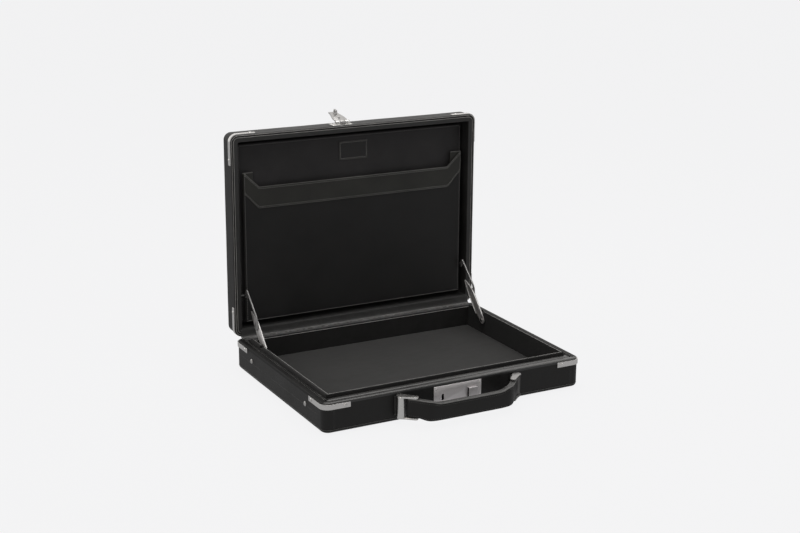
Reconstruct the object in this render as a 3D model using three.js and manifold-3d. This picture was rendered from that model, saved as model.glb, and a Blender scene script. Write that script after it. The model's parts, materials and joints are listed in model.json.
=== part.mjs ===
// Attache case: a shallow leather-covered box with a hinged lid, metal corner
// straps, folding lid stays, a pocket organiser in the lid, a lock with a hasp
// on the front and a leather strap handle in two metal yokes.
//
// Millimetres, +Z up. The origin is the middle of the base's underside, +X runs
// to the right along the front, +Y runs back to the hinge. The rest pose has the
// lid open at a right angle, the hasp folded back and the handle drawn out.
import * as THREE from "three";
import { mergeVertices } from "three/addons/utils/BufferGeometryUtils.js";
import Module from "manifold-3d";

const wasm = await Module();
wasm.setup();

// ---------------------------------------------------------- shared dimensions
const W = 400; // outer width, left to right
const D = 298; // outer depth, front to back
const LEFT = -W / 2;
const FRONT = -D / 2;
const BACK = D / 2;
const CORNER_R = 11; // radius of the upright corners
const MIN_CORNER_R = 2; // least radius of any inner corner
const SKIN_GAP = 0.1; // gap between the leather and the metal fitted on it

const BASE_H = 43; // height of the base
const BASE_WALL = 9.5; // thickness of the covered base wall
const BASE_FLOOR = 6; // thickness of the covered base floor
const FLOOR_SEAT = BASE_FLOOR + 0.2; // underside of what stands on the floor

const LID_H = 31.7; // height of the lid
const LID_TOP = 5; // thickness of the lid's top panel
const LID_RIM = 10.6; // width of the lid's flat rim
const LID_SEAT = LID_H - LID_TOP - 0.3; // rim to what lies on the top panel
const RIM_GAP = 0.6; // gap between the two rims when shut
const RIM_Z = BASE_H + RIM_GAP; // the lid's rim when shut

const HINGE_Y = BACK + 1.5; // hinge axis, just behind the back face
const HINGE_Z = BASE_H + RIM_GAP / 2;

// Rounded outer edge of the base's underside and of the lid's top:
// inset from the outline, distance in from the flat face.
const EDGE_ROUND = [
  [4.6, 0],
  [1.9, 0.7],
  [0.5, 2.4],
  [0, 5],
];

// ------------------------------------------------------------------ materials
const material = (settings) => new THREE.MeshStandardMaterial(settings);
const LEATHER = material({ color: 0x1b1a1a, roughness: 0.52, metalness: 0 });
const SOFT_LEATHER = material({ color: 0x1d1d1d, roughness: 0.7, metalness: 0 });
const SUEDE = material({ color: 0x242323, roughness: 0.92, metalness: 0 });
const STEEL = material({ color: 0xc9c7c5, roughness: 0.3, metalness: 1 });
const POLISHED = material({ color: 0xd8d6d4, roughness: 0.16, metalness: 1 });
const DARK_METAL = material({ color: 0x3a3a3b, roughness: 0.5, metalness: 0.8 });

// -------------------------------------------------------------- shape helpers
// Points along an arc; the angles are in degrees.
function arc(cx, cy, radius, from, to, steps) {
  return Array.from({ length: steps + 1 }, (_, i) => {
    const angle = ((from + ((to - from) * i) / steps) * Math.PI) / 180;
    return [cx + radius * Math.cos(angle), cy + radius * Math.sin(angle)];
  });
}

// A rounded rectangle as a loop of points at height z.
function roundedLoop(x0, x1, y0, y1, radius, z, steps) {
  return [
    ...arc(x1 - radius, y1 - radius, radius, 0, 90, steps),
    ...arc(x0 + radius, y1 - radius, radius, 90, 180, steps),
    ...arc(x0 + radius, y0 + radius, radius, 180, 270, steps),
    ...arc(x1 - radius, y0 + radius, radius, 270, 360, steps),
  ].map(([x, y]) => [x, y, z]);
}

// The case's outline, set in.
function caseLoop([inset, z]) {
  const radius = Math.max(CORNER_R - inset, MIN_CORNER_R);
  return roundedLoop(LEFT + inset, -LEFT - inset, FRONT + inset, BACK - inset, radius, z, 5);
}

// Skins a stack of equal loops. A ring joins its last loop to its first, and
// anything else is capped at both ends.
function loft(loops, isRing = false) {
  const count = loops[0].length;
  const last = loops.length - 1;
  const positions = loops.flat(2);
  const indices = [];
  for (let k = 0; k < (isRing ? loops.length : last); k++) {
    const lower = k * count;
    const upper = ((k + 1) % loops.length) * count;
    for (let i = 0; i < count; i++) {
      const j = (i + 1) % count;
      indices.push(lower + i, lower + j, upper + j, lower + i, upper + j, upper + i);
    }
  }
  const cap = (k, isFlipped) => {
    const centre = [0, 1, 2].map((axis) => loops[k].reduce((sum, p) => sum + p[axis] / count, 0));
    const hub = positions.length / 3;
    positions.push(...centre);
    for (let i = 0; i < count; i++) {
      const a = k * count + i;
      const b = k * count + ((i + 1) % count);
      indices.push(hub, ...(isFlipped ? [b, a] : [a, b]));
    }
  };
  if (!isRing) {
    cap(0, true);
    cap(last, false);
  }
  const geometry = new THREE.BufferGeometry();
  geometry.setAttribute("position", new THREE.Float32BufferAttribute(positions, 3));
  geometry.setIndex(indices);
  return geometry;
}

// The ends of a box, rod or slab may be given in either order, so that a piece
// can be mirrored by the sign of its coordinates.
function box(x0, x1, y0, y1, z0, z1) {
  const size = [x1 - x0, y1 - y0, z1 - z0].map(Math.abs);
  const geometry = new THREE.BoxGeometry(...size);
  return geometry.translate((x0 + x1) / 2, (y0 + y1) / 2, (z0 + z1) / 2);
}

// A cylinder along an axis, at (u, v) on the other two axes.
function rod(axis, radius, from, to, u, v, sides = 16) {
  const geometry = new THREE.CylinderGeometry(radius, radius, Math.abs(to - from), sides);
  const middle = (from + to) / 2;
  if (axis === "x") return geometry.rotateZ(Math.PI / 2).translate(middle, u, v);
  if (axis === "y") return geometry.translate(u, middle, v);
  return geometry.rotateX(Math.PI / 2).translate(u, v, middle);
}

// A flat outline drawn in a plane, thickened between two places on the plane's
// normal axis. Holes are [u, v, radius, sides].
function slab(plane, points, from, to, holes = []) {
  const outline = points.map(([u, v]) => new THREE.Vector2(u, v));
  // Holes come out right only in a counter-clockwise outline.
  if (THREE.ShapeUtils.isClockWise(outline)) outline.reverse();
  const drawn = new THREE.Shape(outline);
  for (const [u, v, radius, sides] of holes) {
    const rim = arc(u, v, radius, 0, -360, sides);
    drawn.holes.push(new THREE.Path(rim.map((p) => new THREE.Vector2(...p))));
  }
  const depth = Math.abs(to - from);
  const low = Math.min(from, to);
  const geometry = new THREE.ExtrudeGeometry(drawn, { depth, bevelEnabled: false });
  // The xz turn sends the thickness towards -Y.
  if (plane === "xz") return geometry.rotateX(Math.PI / 2).translate(0, low + depth, 0);
  geometry.translate(0, 0, low);
  if (plane === "yz") geometry.rotateX(Math.PI / 2).rotateZ(Math.PI / 2);
  return geometry;
}

// Turns a profile of [radius, height] about Y.
const lathe = (profile, sides) =>
  new THREE.LatheGeometry(
    profile.map(([radius, height]) => new THREE.Vector2(radius, height)),
    sides,
  );

// ------------------------------------------------------------------- booleans
function toSolid(geometry) {
  const bare = geometry.clone();
  for (const key of Object.keys(bare.attributes)) {
    if (key !== "position") bare.deleteAttribute(key);
  }
  const merged = mergeVertices(bare, 1e-4);
  return new wasm.Manifold(
    new wasm.Mesh({
      numProp: 3,
      vertProperties: merged.attributes.position.array,
      triVerts: new Uint32Array(merged.index.array),
    }),
  );
}

function toGeometry(solid) {
  const { numVert, numProp, vertProperties, triVerts } = solid.getMesh();
  const positions = new Float32Array(numVert * 3);
  for (let i = 0; i < numVert; i++) {
    positions.set(vertProperties.subarray(i * numProp, i * numProp + 3), i * 3);
  }
  const geometry = new THREE.BufferGeometry();
  geometry.setAttribute("position", new THREE.BufferAttribute(positions, 3));
  geometry.setIndex(new THREE.BufferAttribute(new Uint32Array(triVerts), 1));
  return geometry;
}

const union = (geometries) => geometries.map(toSolid).reduce((a, b) => a.add(b));
const join = (...geometries) => toGeometry(union(geometries));
const cut = (geometry, ...tools) =>
  toGeometry(tools.map(toSolid).reduce((a, b) => a.subtract(b), toSolid(geometry)));

// ---------------------------------------------------------------- scene graph
const object = new THREE.Group();
object.name = "attache_case";
const lid = new THREE.Group(); // turned open about the hinge axis
lid.position.set(0, HINGE_Y, HINGE_Z);
lid.rotation.x = -Math.PI / 2;
object.add(lid);
const lidShut = new THREE.Group(); // holds the lid's pieces where they sit shut
lidShut.position.set(0, -HINGE_Y, -HINGE_Z);
lid.add(lidShut);

function put(parent, name, surface, geometry) {
  const faceted = geometry.index ? geometry.toNonIndexed() : geometry;
  faceted.computeVertexNormals();
  const mesh = new THREE.Mesh(faceted, surface);
  mesh.name = name;
  parent.add(mesh);
}

const SIDES = [
  ["left", -1],
  ["right", 1],
];

// From a place on the open lid to the same place with the lid shut.
const shutY = (openZ) => HINGE_Y - (openZ - HINGE_Z);
const shutZ = (openY) => HINGE_Z + (openY - HINGE_Y);
// From a depth inside the lid's rim to a height with the lid shut.
const lidZ = (depth) => RIM_Z + depth;

// ----------------------------------------------- places shared by base pieces
// Inner and outer faces of the lining: half width, front and back.
const LINING_IN = { x: W / 2 - 17.4, y0: FRONT + 22.6, y1: BACK - 17.5 };
const LINING_OUT = { x: LINING_IN.x + 4.2, y0: LINING_IN.y0 - 3, y1: LINING_IN.y1 + 1.5 };
const liningLoop = ({ x, y0, y1 }, grow, z, steps = 3) =>
  roundedLoop(-x - grow, x + grow, y0 - grow, y1 + grow, MIN_CORNER_R, z, steps);

// Stay pivots as (y, z), with the lid open.
const LID_PIVOT = [BACK + 5, 105];
const BASE_PIVOT = [83.6, 34];

const FLAP_X = 192; // half width of the hinge flap
const FLAP_REACH = 9.2; // back face to the flap's front edge
const RELIEF_X = FLAP_X + 1.5; // half width of the lowered rim under the flap

// The lock's case, behind the plate.
const LOCK_CASE = { x: 33, y0: FRONT + 0.1, y1: FRONT + 7.5, z0: 13, z1: 36.5 };

// ----------------------------------------------------------------- base shell
// The covered tray: rounded underside, upright walls and a rounded rim bead.
// Inset from the outline, height.
const TRAY_RIM = [
  [0, 39.6],
  [0.9, 41.8],
  [3.2, BASE_H],
  [6.3, BASE_H],
  [8.6, 41.8],
  [BASE_WALL, 39.6],
  [BASE_WALL, BASE_FLOOR],
];

function baseShell() {
  const { x, y1, z0, z1 } = LOCK_CASE;
  const lockHollow = box(-x - 1, x + 1, FRONT - 5, y1 + 0.5, z0 - 0.8, z1 + 0.8);
  const flapRelief = box(-RELIEF_X, RELIEF_X, BACK - FLAP_REACH - 0.4, BACK + 5, 42.2, 50);
  return cut(loft([...EDGE_ROUND, ...TRAY_RIM].map(caseLoop)), lockHollow, flapRelief);
}
put(object, "base_shell", LEATHER, baseShell());

// ----------------------------------------------------------------- base frame
// The inner frame that stiffens the rim, with a second rounded bead on top.
const FRAME_GAP = 0.2; // to the shell's wall outside and to the lining inside
const FRAME_INSET = BASE_WALL + FRAME_GAP;
const FRAME_TOP = 42.7;
// Outer face: inset from the outline, height.
const FRAME_OUTER = [
  [FRAME_INSET, FLOOR_SEAT],
  [FRAME_INSET, 40.6],
  [FRAME_INSET + 0.8, 42.2],
  [FRAME_INSET + 1.4, FRAME_TOP],
];
// Inner face: distance out from the lining, height.
const FRAME_INNER = [
  [FRAME_GAP + 0.6, FRAME_TOP],
  [FRAME_GAP, 41.8],
  [FRAME_GAP, FLOOR_SEAT],
];

function baseFrame() {
  const innerLoops = FRAME_INNER.map(([grow, z]) => liningLoop(LINING_OUT, grow, z, 5));
  const flapRelief = box(-RELIEF_X, RELIEF_X, 130, BACK, 42, 50);
  return cut(loft([...FRAME_OUTER.map(caseLoop), ...innerLoops], true), flapRelief);
}
put(object, "base_frame", SOFT_LEATHER, baseFrame());

// ------------------------------------------------------ base lining and floor
// The lining walls rise as a tongue along the front and the sides.
const TONGUE_TOP = 46.8; // top of the tongue that enters the lid
const TONGUE_SHOULDER = TONGUE_TOP - 0.8; // where its top edges start to slope
const TONGUE_SLOPE = 0.7; // how far each top edge is set back
const TONGUE_END = 127; // y where the side tongues stop
const NOTCH_HALF = 4.4; // half width of the gap for the lid's stay stud
const PAD_TOP = 13.6; // top of the padded floor

function baseLining() {
  const walls = [
    liningLoop(LINING_OUT, 0, FLOOR_SEAT),
    liningLoop(LINING_OUT, 0, TONGUE_SHOULDER),
    liningLoop(LINING_OUT, -TONGUE_SLOPE, TONGUE_TOP),
    liningLoop(LINING_IN, TONGUE_SLOPE, TONGUE_TOP),
    liningLoop(LINING_IN, 0, TONGUE_SHOULDER),
    liningLoop(LINING_IN, 0, FLOOR_SEAT),
  ];
  const notchY = shutY(LID_PIVOT[1]);
  return cut(
    loft(walls, true),
    box(LEFT, -LEFT, TONGUE_END, BACK, 42, 60),
    box(LEFT, -LEFT, notchY - NOTCH_HALF, notchY + NOTCH_HALF, 43.2, 60),
  );
}
put(object, "base_lining", SUEDE, baseLining());

const floorPad = loft([
  liningLoop(LINING_IN, -0.3, FLOOR_SEAT),
  liningLoop(LINING_IN, -0.3, PAD_TOP - 1.2),
  liningLoop(LINING_IN, -1.2, PAD_TOP),
]);
put(object, "base_floor_pad", SUEDE, floorPad);

// -------------------------------------------------------------- corner straps
const STRAP_T = 1.4; // thickness
const STRAP_FACE_END = LEFT + 38.5; // x where the arm along the front ends
const STRAP_SIDE_END = FRONT + 43.5; // y where the arm along the side ends
const SCREW_INSET = 7.5; // strap's end to the screw
const SCREW_X = STRAP_FACE_END - SCREW_INSET;
const SCREW_Y = STRAP_SIDE_END - SCREW_INSET;
const SCREW_HOLE_R = 1.3;
// Screw slot angles, in radians.
const SLOT_TURN = { first: 1.4, perCorner: 2.2, faceToSide: 1.3 };
// Dome-head screw with its head's seat near 0: radius, height.
const SCREW_PROFILE = [
  [0, -1.3],
  [1.1, -1.3],
  [1.1, 0.05],
  [2.5, 0.05],
  [2.3, 0.6],
  [1.4, 1.05],
  [0, 1.15],
];
// Where a corner is and its mirror signs from the front left one.
const CORNERS = [
  ["front_left", 1, 1],
  ["front_right", -1, 1],
  ["rear_left", 1, -1],
  ["rear_right", -1, -1],
];

// The strap round the front left corner.
function strap(z0, height) {
  const innerR = CORNER_R + SKIN_GAP;
  const outerR = innerR + STRAP_T;
  const cx = LEFT + CORNER_R;
  const cy = FRONT + CORNER_R;
  const outline = [
    [cx - outerR, STRAP_SIDE_END],
    ...arc(cx, cy, outerR, 180, 270, 8),
    [STRAP_FACE_END, cy - outerR],
    [STRAP_FACE_END, cy - innerR],
    ...arc(cx, cy, innerR, 270, 180, 8),
    [cx - innerR, STRAP_SIDE_END],
  ];
  const middle = z0 + height / 2;
  return cut(
    slab("xy", outline, z0, z0 + height),
    rod("y", SCREW_HOLE_R, FRONT - 3, FRONT + 1, SCREW_X, middle, 10),
    rod("x", SCREW_HOLE_R, LEFT - 3, LEFT + 1, SCREW_Y, middle, 10),
  );
}

// A slotted screw, its axis along +Z.
function screw(slotAngle) {
  const slot = box(-4, 4, -0.28, 0.28, 0.6, 3).rotateZ(slotAngle);
  return cut(lathe(SCREW_PROFILE, 10).rotateX(Math.PI / 2), slot);
}

function mirrored(geometry, signX, signY) {
  const copy = geometry.toNonIndexed().scale(signX, signY, 1);
  if (signX * signY > 0) return copy;
  // One mirroring turns the triangles inside out, so swap two of their corners.
  const p = copy.attributes.position.array;
  for (let i = 0; i < p.length; i += 9) {
    for (let k = 3; k < 6; k++) [p[i + k], p[i + 3 + k]] = [p[i + 3 + k], p[i + k]];
  }
  return copy;
}

function putStraps(parent, prefix, z0, height) {
  const middle = z0 + height / 2;
  const standoff = SKIN_GAP + STRAP_T;
  CORNERS.forEach(([where, signX, signY], i) => {
    const faceTurn = SLOT_TURN.first + SLOT_TURN.perCorner * i;
    const faceScrew = screw(faceTurn)
      .rotateX(Math.PI / 2) // +Z to -Y
      .translate(SCREW_X, FRONT - standoff, middle);
    const sideScrew = screw(faceTurn + SLOT_TURN.faceToSide)
      .rotateY(-Math.PI / 2) // +Z to -X
      .translate(LEFT - standoff, SCREW_Y, middle);
    const putCorner = (name, surface, geometry) =>
      put(parent, `${prefix}_${name}`, surface, mirrored(geometry, signX, signY));
    putCorner(`corner_${where}`, STEEL, strap(z0, height));
    putCorner(`screw_${where}_a`, POLISHED, faceScrew);
    putCorner(`screw_${where}_b`, POLISHED, sideScrew);
  });
}
putStraps(object, "base", 33.6, 7.2);
putStraps(lidShut, "lid", lidZ(1.6), 6.6);

// ----------------------------------------------------------------- side studs
// Radius, distance out from the side face.
const SIDE_STUD_PROFILE = [
  [0, 0.05],
  [3.6, 0.05],
  [3.4, 0.8],
  [2.5, 1.5],
  [1.2, 1.85],
  [0, 1.95],
];
// Place along the side, y and z.
const SIDE_STUDS = [
  ["front", FRONT + 57, 24.5],
  ["rear", FRONT + 240, 26],
];
for (const [side, sign] of SIDES) {
  for (const [where, y, z] of SIDE_STUDS) {
    const stud = lathe(SIDE_STUD_PROFILE, 14).rotateZ((-sign * Math.PI) / 2);
    put(object, `side_stud_${side}_${where}`, STEEL, stud.translate((sign * W) / 2, y, z));
  }
}

// ------------------------------------------------------------------------ lid
const LID_SKIN = 3.2; // thickness of the covered wall
const LID_FRAME_INSET = LID_SKIN + 0.2;
// From the inside of the top round the rim to the top's outer face:
// inset from the outline, depth from the rim.
const LID_PROFILE = [
  [LID_SKIN, LID_H - LID_TOP],
  [LID_SKIN, 0.8],
  [2.4, 0],
  [0.9, 0.1],
  [0, 1.1],
  ...EDGE_ROUND.map(([inset, depth]) => [inset, LID_H - depth]).reverse(),
];
const LID_FRAME_PROFILE = [
  [LID_FRAME_INSET, 0.8],
  [LID_FRAME_INSET, LID_SEAT],
  [LID_RIM, LID_SEAT],
  [LID_RIM, 0.7],
  [LID_RIM - 0.7, 0.1],
  [LID_SKIN + 1.1, 0.1],
];
const lidLoops = (profile) => profile.map(([inset, depth]) => caseLoop([inset, lidZ(depth)]));
put(lidShut, "lid_shell", LEATHER, loft(lidLoops(LID_PROFILE)));
put(lidShut, "lid_frame", SOFT_LEATHER, loft(lidLoops(LID_FRAME_PROFILE), true));

// The liner board inside the top panel.
const LINER_X = 184.8; // half width
const LINER_DEPTH = 15.7; // below the rim
const linerBoard = box(
  -LINER_X,
  LINER_X,
  shutY(326),
  shutY(59.5),
  lidZ(LINER_DEPTH),
  lidZ(LID_SEAT),
);
put(lidShut, "lid_liner", SUEDE, linerBoard);

// ----------------------------------------------------------------- lid pocket
// Sewn in one: a stiff front panel with a shaped mouth, a grained band along
// the mouth, two slanted gussets and a floor.
const POCKET_X = 179.6; // half width of the front panel
const POCKET_DEPTH = 5.2; // rim to the band's face
const POCKET_INNER = lidZ(POCKET_DEPTH + 2); // where gussets and floor meet the panel
const POCKET_REAR = lidZ(LINER_DEPTH - 0.2); // where they end at the liner
const MOUTH_EDGE = shutY(285.2); // mouth at the sides
const MOUTH_MID = shutY(263); // mouth along the middle
const BAND_EDGE = shutY(257);
const BAND_MID = shutY(232.5);
const POCKET_FOOT = shutY(63.6);
const GUSSET_T = 2.4; // thickness across
const GUSSET_REAR_X = 168; // outer face at the liner
// The mouth from left to right: x, y.
const MOUTH = [
  [-POCKET_X, MOUTH_EDGE],
  [-POCKET_X + 0.6, MOUTH_EDGE],
  [-155.8, MOUTH_MID],
  [155.8, MOUTH_MID],
  [POCKET_X - 0.6, MOUTH_EDGE],
  [POCKET_X, MOUTH_EDGE],
];

function pocketPanel() {
  const outline = [[-POCKET_X, POCKET_FOOT], ...MOUTH, [POCKET_X, POCKET_FOOT]];
  return slab("xy", outline, lidZ(POCKET_DEPTH + 0.9), lidZ(POCKET_DEPTH + 2.3));
}

function pocketBand() {
  const outline = [
    [-POCKET_X, BAND_EDGE],
    ...MOUTH,
    [POCKET_X, BAND_EDGE],
    [156.8, BAND_MID],
    [-156.8, BAND_MID],
  ];
  return slab("xy", outline, lidZ(POCKET_DEPTH), lidZ(POCKET_DEPTH + 1));
}

function pocketGusset(sign) {
  const section = [
    [sign * POCKET_X, POCKET_INNER],
    [sign * (POCKET_X - GUSSET_T), POCKET_INNER],
    [sign * (GUSSET_REAR_X - GUSSET_T), POCKET_REAR],
    [sign * GUSSET_REAR_X, POCKET_REAR],
  ];
  return slab("xz", section, MOUTH_EDGE + 0.6, POCKET_FOOT);
}

const pocketFloor = box(-167, 167, POCKET_FOOT - 1.4, POCKET_FOOT, POCKET_INNER, POCKET_REAR);
const pocket = join(pocketPanel(), pocketBand(), pocketGusset(-1), pocketGusset(1), pocketFloor);
put(lidShut, "lid_pocket", SOFT_LEATHER, pocket);

// The patch on the liner above the pocket.
const patch = box(
  -23.2,
  23.2,
  shutY(316.2),
  shutY(288.8),
  lidZ(LINER_DEPTH - 1.1),
  lidZ(LINER_DEPTH - 0.1),
);
put(lidShut, "lid_patch", LEATHER, patch);

// ------------------------------------------------------------------ lid hinge
// A piano hinge along the back: two leaves with alternate knuckles and a pin.
const KNUCKLES = 9;
const HINGE_L = 320;
const KNUCKLE_PITCH = HINGE_L / KNUCKLES;
const KNUCKLE_R = 1.4;
const KNUCKLE_GAP = 0.4; // between neighbouring knuckles
const LEAF_Y = [BACK + SKIN_GAP, BACK + 0.7];
// Distances from the axis, along Z.
const LEAF_SPAN = [1.75, 10.5];
const LUG_SPAN = [0.3, 2.25]; // the lugs that join knuckles to a leaf

// sign is the side of the axis that the leaf lies on, along Z.
function hingeLeaf(firstKnuckle, sign) {
  const spanZ = (span) => span.map((distance) => HINGE_Z + sign * distance);
  const parts = [box(-HINGE_L / 2, HINGE_L / 2, ...LEAF_Y, ...spanZ(LEAF_SPAN))];
  for (let i = firstKnuckle; i < KNUCKLES; i += 2) {
    const x0 = -HINGE_L / 2 + i * KNUCKLE_PITCH + KNUCKLE_GAP / 2;
    const x1 = x0 + KNUCKLE_PITCH - KNUCKLE_GAP;
    parts.push(
      box(x0, x1, ...LEAF_Y, ...spanZ(LUG_SPAN)),
      rod("x", KNUCKLE_R, x0, x1, HINGE_Y, HINGE_Z, 12),
    );
  }
  const bore = rod("x", 0.8, -HINGE_L, HINGE_L, HINGE_Y, HINGE_Z, 10);
  return toGeometry(union(parts).subtract(toSolid(bore)));
}
put(object, "hinge_leaf_base", STEEL, hingeLeaf(0, -1));
put(lidShut, "hinge_leaf_lid", STEEL, hingeLeaf(1, 1));

const hingePin = rod("x", 0.6, -HINGE_L / 2, HINGE_L / 2, HINGE_Y, HINGE_Z, 8);
put(object, "hinge_pin", POLISHED, hingePin);

// The flap on the lid's rim that hides the hinge from inside.
const hingeFlap = box(-FLAP_X, FLAP_X, BACK - FLAP_REACH, BACK - 1.2, lidZ(-0.9), lidZ(-0.05));
put(lidShut, "hinge_flap", LEATHER, hingeFlap);

// ------------------------------------------------------------------ lid stays
// Two flat links on each side: the upper one turns on the lid, the lower one on
// the base, and their ends meet at the elbow on the line between the pivots.
const UPPER_LINK_L = 53.8; // pivot to elbow
const UPPER_LINK_X = [180.8, 182.2];
const LOWER_LINK_X = [179.2, 180.6];
const LINK_HOLE_R = 1.9;
const PIVOT_RISE = [LID_PIVOT[0] - BASE_PIVOT[0], LID_PIVOT[1] - BASE_PIVOT[1]];
const PIVOT_DISTANCE = Math.hypot(...PIVOT_RISE);
const STAY_DIR = PIVOT_RISE.map((d) => d / PIVOT_DISTANCE); // base to lid pivot
const ELBOW = LID_PIVOT.map((p, i) => p - STAY_DIR[i] * UPPER_LINK_L);
// Link outlines: distance from the pivot towards the elbow, and across the
// link, up and to the front.
const UPPER_LINK = [
  ...arc(0, 0, 3.7, 160, 395, 8),
  [5, 7.4], [42, 9.4], [46.5, 7.5], [48.6, -1.5], [52, -5], [57, -4],
  [59, 0], [57.5, 6], [50, 11.4], [43, 13], [-2.6, 10.8], [-4.6, 8.6],
];
const LOWER_LINK = [
  ...arc(0, 0, 5.8, 105, 255, 8),
  [14.5, -6.8], [17, -8.4], [40, -8.4], [58, -6.4], [73, -3],
  [74, -2], [62, 3.4], [50, 7.4], [39, 8], [14, 7.2],
];
// Studs as coaxial rods: radius, inner x, outer x, sides.
const BASE_STUD = [
  [1.6, 178.6, LINING_IN.x - 0.1, 12],
  [3, 178, 178.9, 14],
  [3.6, 181, LINING_IN.x - 0.1, 14],
];
const LID_STUD = [
  [1.6, 180.3, W / 2 - LID_RIM - 0.1, 12],
  [2.4, 179.8, 180.6, 14],
  [2.4, 182.6, 183.4, 14],
];

// heading is 1 for a link that runs from base to lid and -1 for the reverse.
function link(sign, pivot, heading, outline, layer) {
  const [dirY, dirZ] = STAY_DIR;
  const points = outline.map(([along, across]) => [
    pivot[0] + heading * along * dirY - across * dirZ,
    pivot[1] + heading * along * dirZ + across * dirY,
  ]);
  const hole = [...pivot, LINK_HOLE_R, 12];
  return slab("yz", points, sign * layer[0], sign * layer[1], [hole]);
}

function lowerLink(sign) {
  const face = LOWER_LINK_X[0];
  const rivet = rod("x", 1.9, sign * (face - 0.4), sign * (face + 0.2), ...ELBOW, 12);
  return join(link(sign, BASE_PIVOT, 1, LOWER_LINK, LOWER_LINK_X), rivet);
}

const stayStud = (sign, parts, pivot) =>
  join(
    ...parts.map(([radius, inner, outer, sides]) =>
      rod("x", radius, sign * inner, sign * outer, ...pivot, sides),
    ),
  );

const LID_PIVOT_SHUT = [shutY(LID_PIVOT[1]), shutZ(LID_PIVOT[0])];
for (const [side, sign] of SIDES) {
  const upperLink = link(sign, LID_PIVOT, -1, UPPER_LINK, UPPER_LINK_X);
  put(object, `stay_upper_${side}`, STEEL, upperLink);
  put(object, `stay_lower_${side}`, STEEL, lowerLink(sign));
  put(object, `stay_stud_base_${side}`, POLISHED, stayStud(sign, BASE_STUD, BASE_PIVOT));
  put(lidShut, `stay_stud_lid_${side}`, POLISHED, stayStud(sign, LID_STUD, LID_PIVOT_SHUT));
}

// ----------------------------------------------------------------------- lock
const HASP_X = -23.2; // middle of the hasp and of its slot
const PLATE_X = 37; // half width of the lock plate
const PLATE_Y = [FRONT - 1.5, FRONT - SKIN_GAP];
const PLATE_Z = [11, 38.5];
const SLOT_Z = 22.5; // middle of the hasp's slot
const SLOT_R = 1.9; // radius of the slot's round ends
const SLOT_HALF = 2.9; // slot's middle to the centre of each end
const BUTTON = { x0: 16, x1: 30, z0: 15, z1: 30 };

// A box round the button, with a clearance on all four sides.
const buttonBox = (clearance, y0, y1) =>
  box(
    BUTTON.x0 - clearance,
    BUTTON.x1 + clearance,
    y0,
    y1,
    BUTTON.z0 - clearance,
    BUTTON.z1 + clearance,
  );

function lockPlate() {
  const through = [PLATE_Y[0] - 1, PLATE_Y[1] + 1];
  const slotZ = [SLOT_Z - SLOT_HALF, SLOT_Z + SLOT_HALF];
  return cut(
    box(-PLATE_X, PLATE_X, ...PLATE_Y, ...PLATE_Z),
    box(HASP_X - SLOT_R, HASP_X + SLOT_R, ...through, ...slotZ),
    ...slotZ.map((z) => rod("y", SLOT_R, ...through, HASP_X, z, 12)),
    buttonBox(0.3, ...through),
  );
}
put(object, "lock_plate", STEEL, lockPlate());

function lockCase() {
  const { x, y0, y1, z0, z1 } = LOCK_CASE;
  const wellX = 2.4; // half width of the well behind the slot
  const wellZ = 5.1; // its half height
  return cut(
    box(-x, x, y0, y1, z0, z1),
    box(HASP_X - wellX, HASP_X + wellX, FRONT - 1, FRONT + 4.7, SLOT_Z - wellZ, SLOT_Z + wellZ),
    buttonBox(0.6, FRONT - 1, FRONT + 6),
    // channel from the well to the button's opening
    box(HASP_X, 20, FRONT + 0.6, FRONT + 3, SLOT_Z - 1.8, SLOT_Z + 1.8),
  );
}
put(object, "lock_case", DARK_METAL, lockCase());
put(object, "lock_button", STEEL, buttonBox(0, FRONT - 4.5, FRONT + 3.4));

// ----------------------------------------------------------------------- hasp
// Drawn shut: the axis runs along X in front of the lid, the leaf hangs down
// over the lock plate and its tongue enters the slot.
const HASP_AXIS = [FRONT - 4.5, lidZ(4.5)]; // y, z
const HASP_LEN = 34.5; // axis to the leaf's lower end
const HASP_OPEN = 166; // degrees from shut to folded back
const HASP_KNUCKLE_R = 3.1;
const HASP_BORE_R = 1.25;
const BASE_KNUCKLE_X = [4.2, 11]; // from the hasp's middle
const LEAF_KNUCKLE_X = 3.9; // half width
const TONGUE_Z = SLOT_Z - HASP_AXIS[1]; // tongue's middle, from the axis
// Right half of the leaf from the axis down, with the axis at the origin: x, z.
const LEAF_HALF = [
  [LEAF_KNUCKLE_X, -1],
  [LEAF_KNUCKLE_X, -3.6],
  [10, -5.2],
  [10, -14],
  [6.6, -HASP_LEN + 6],
  [6.6, -HASP_LEN],
];

function haspBase() {
  const [axisY, axisZ] = HASP_AXIS;
  const knuckles = [-1, 1].flatMap((sign) => {
    const ends = BASE_KNUCKLE_X.map((x) => HASP_X + sign * x);
    return [
      rod("x", HASP_KNUCKLE_R, ...ends, axisY, axisZ, 16),
      box(...ends, axisY + 0.4, FRONT - 0.8, axisZ - 1.8, axisZ + 1.8),
    ];
  });
  return cut(
    join(
      box(HASP_X - 16, HASP_X + 16, FRONT - 1.3, FRONT - SKIN_GAP, lidZ(1.4), lidZ(18)),
      ...knuckles,
    ),
    rod("x", HASP_BORE_R, HASP_X - 20, HASP_X + 20, axisY, axisZ, 12),
  );
}
put(lidShut, "hasp_base", STEEL, haspBase());

const haspPin = rod("x", 1, HASP_X - 11.4, HASP_X + 11.4, ...HASP_AXIS, 12);
put(lidShut, "hasp_pin", POLISHED, haspPin);

const hasp = new THREE.Group(); // folded back from shut about the hasp axis
hasp.position.set(0, ...HASP_AXIS);
hasp.rotation.x = (-HASP_OPEN * Math.PI) / 180;
lidShut.add(hasp);

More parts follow.
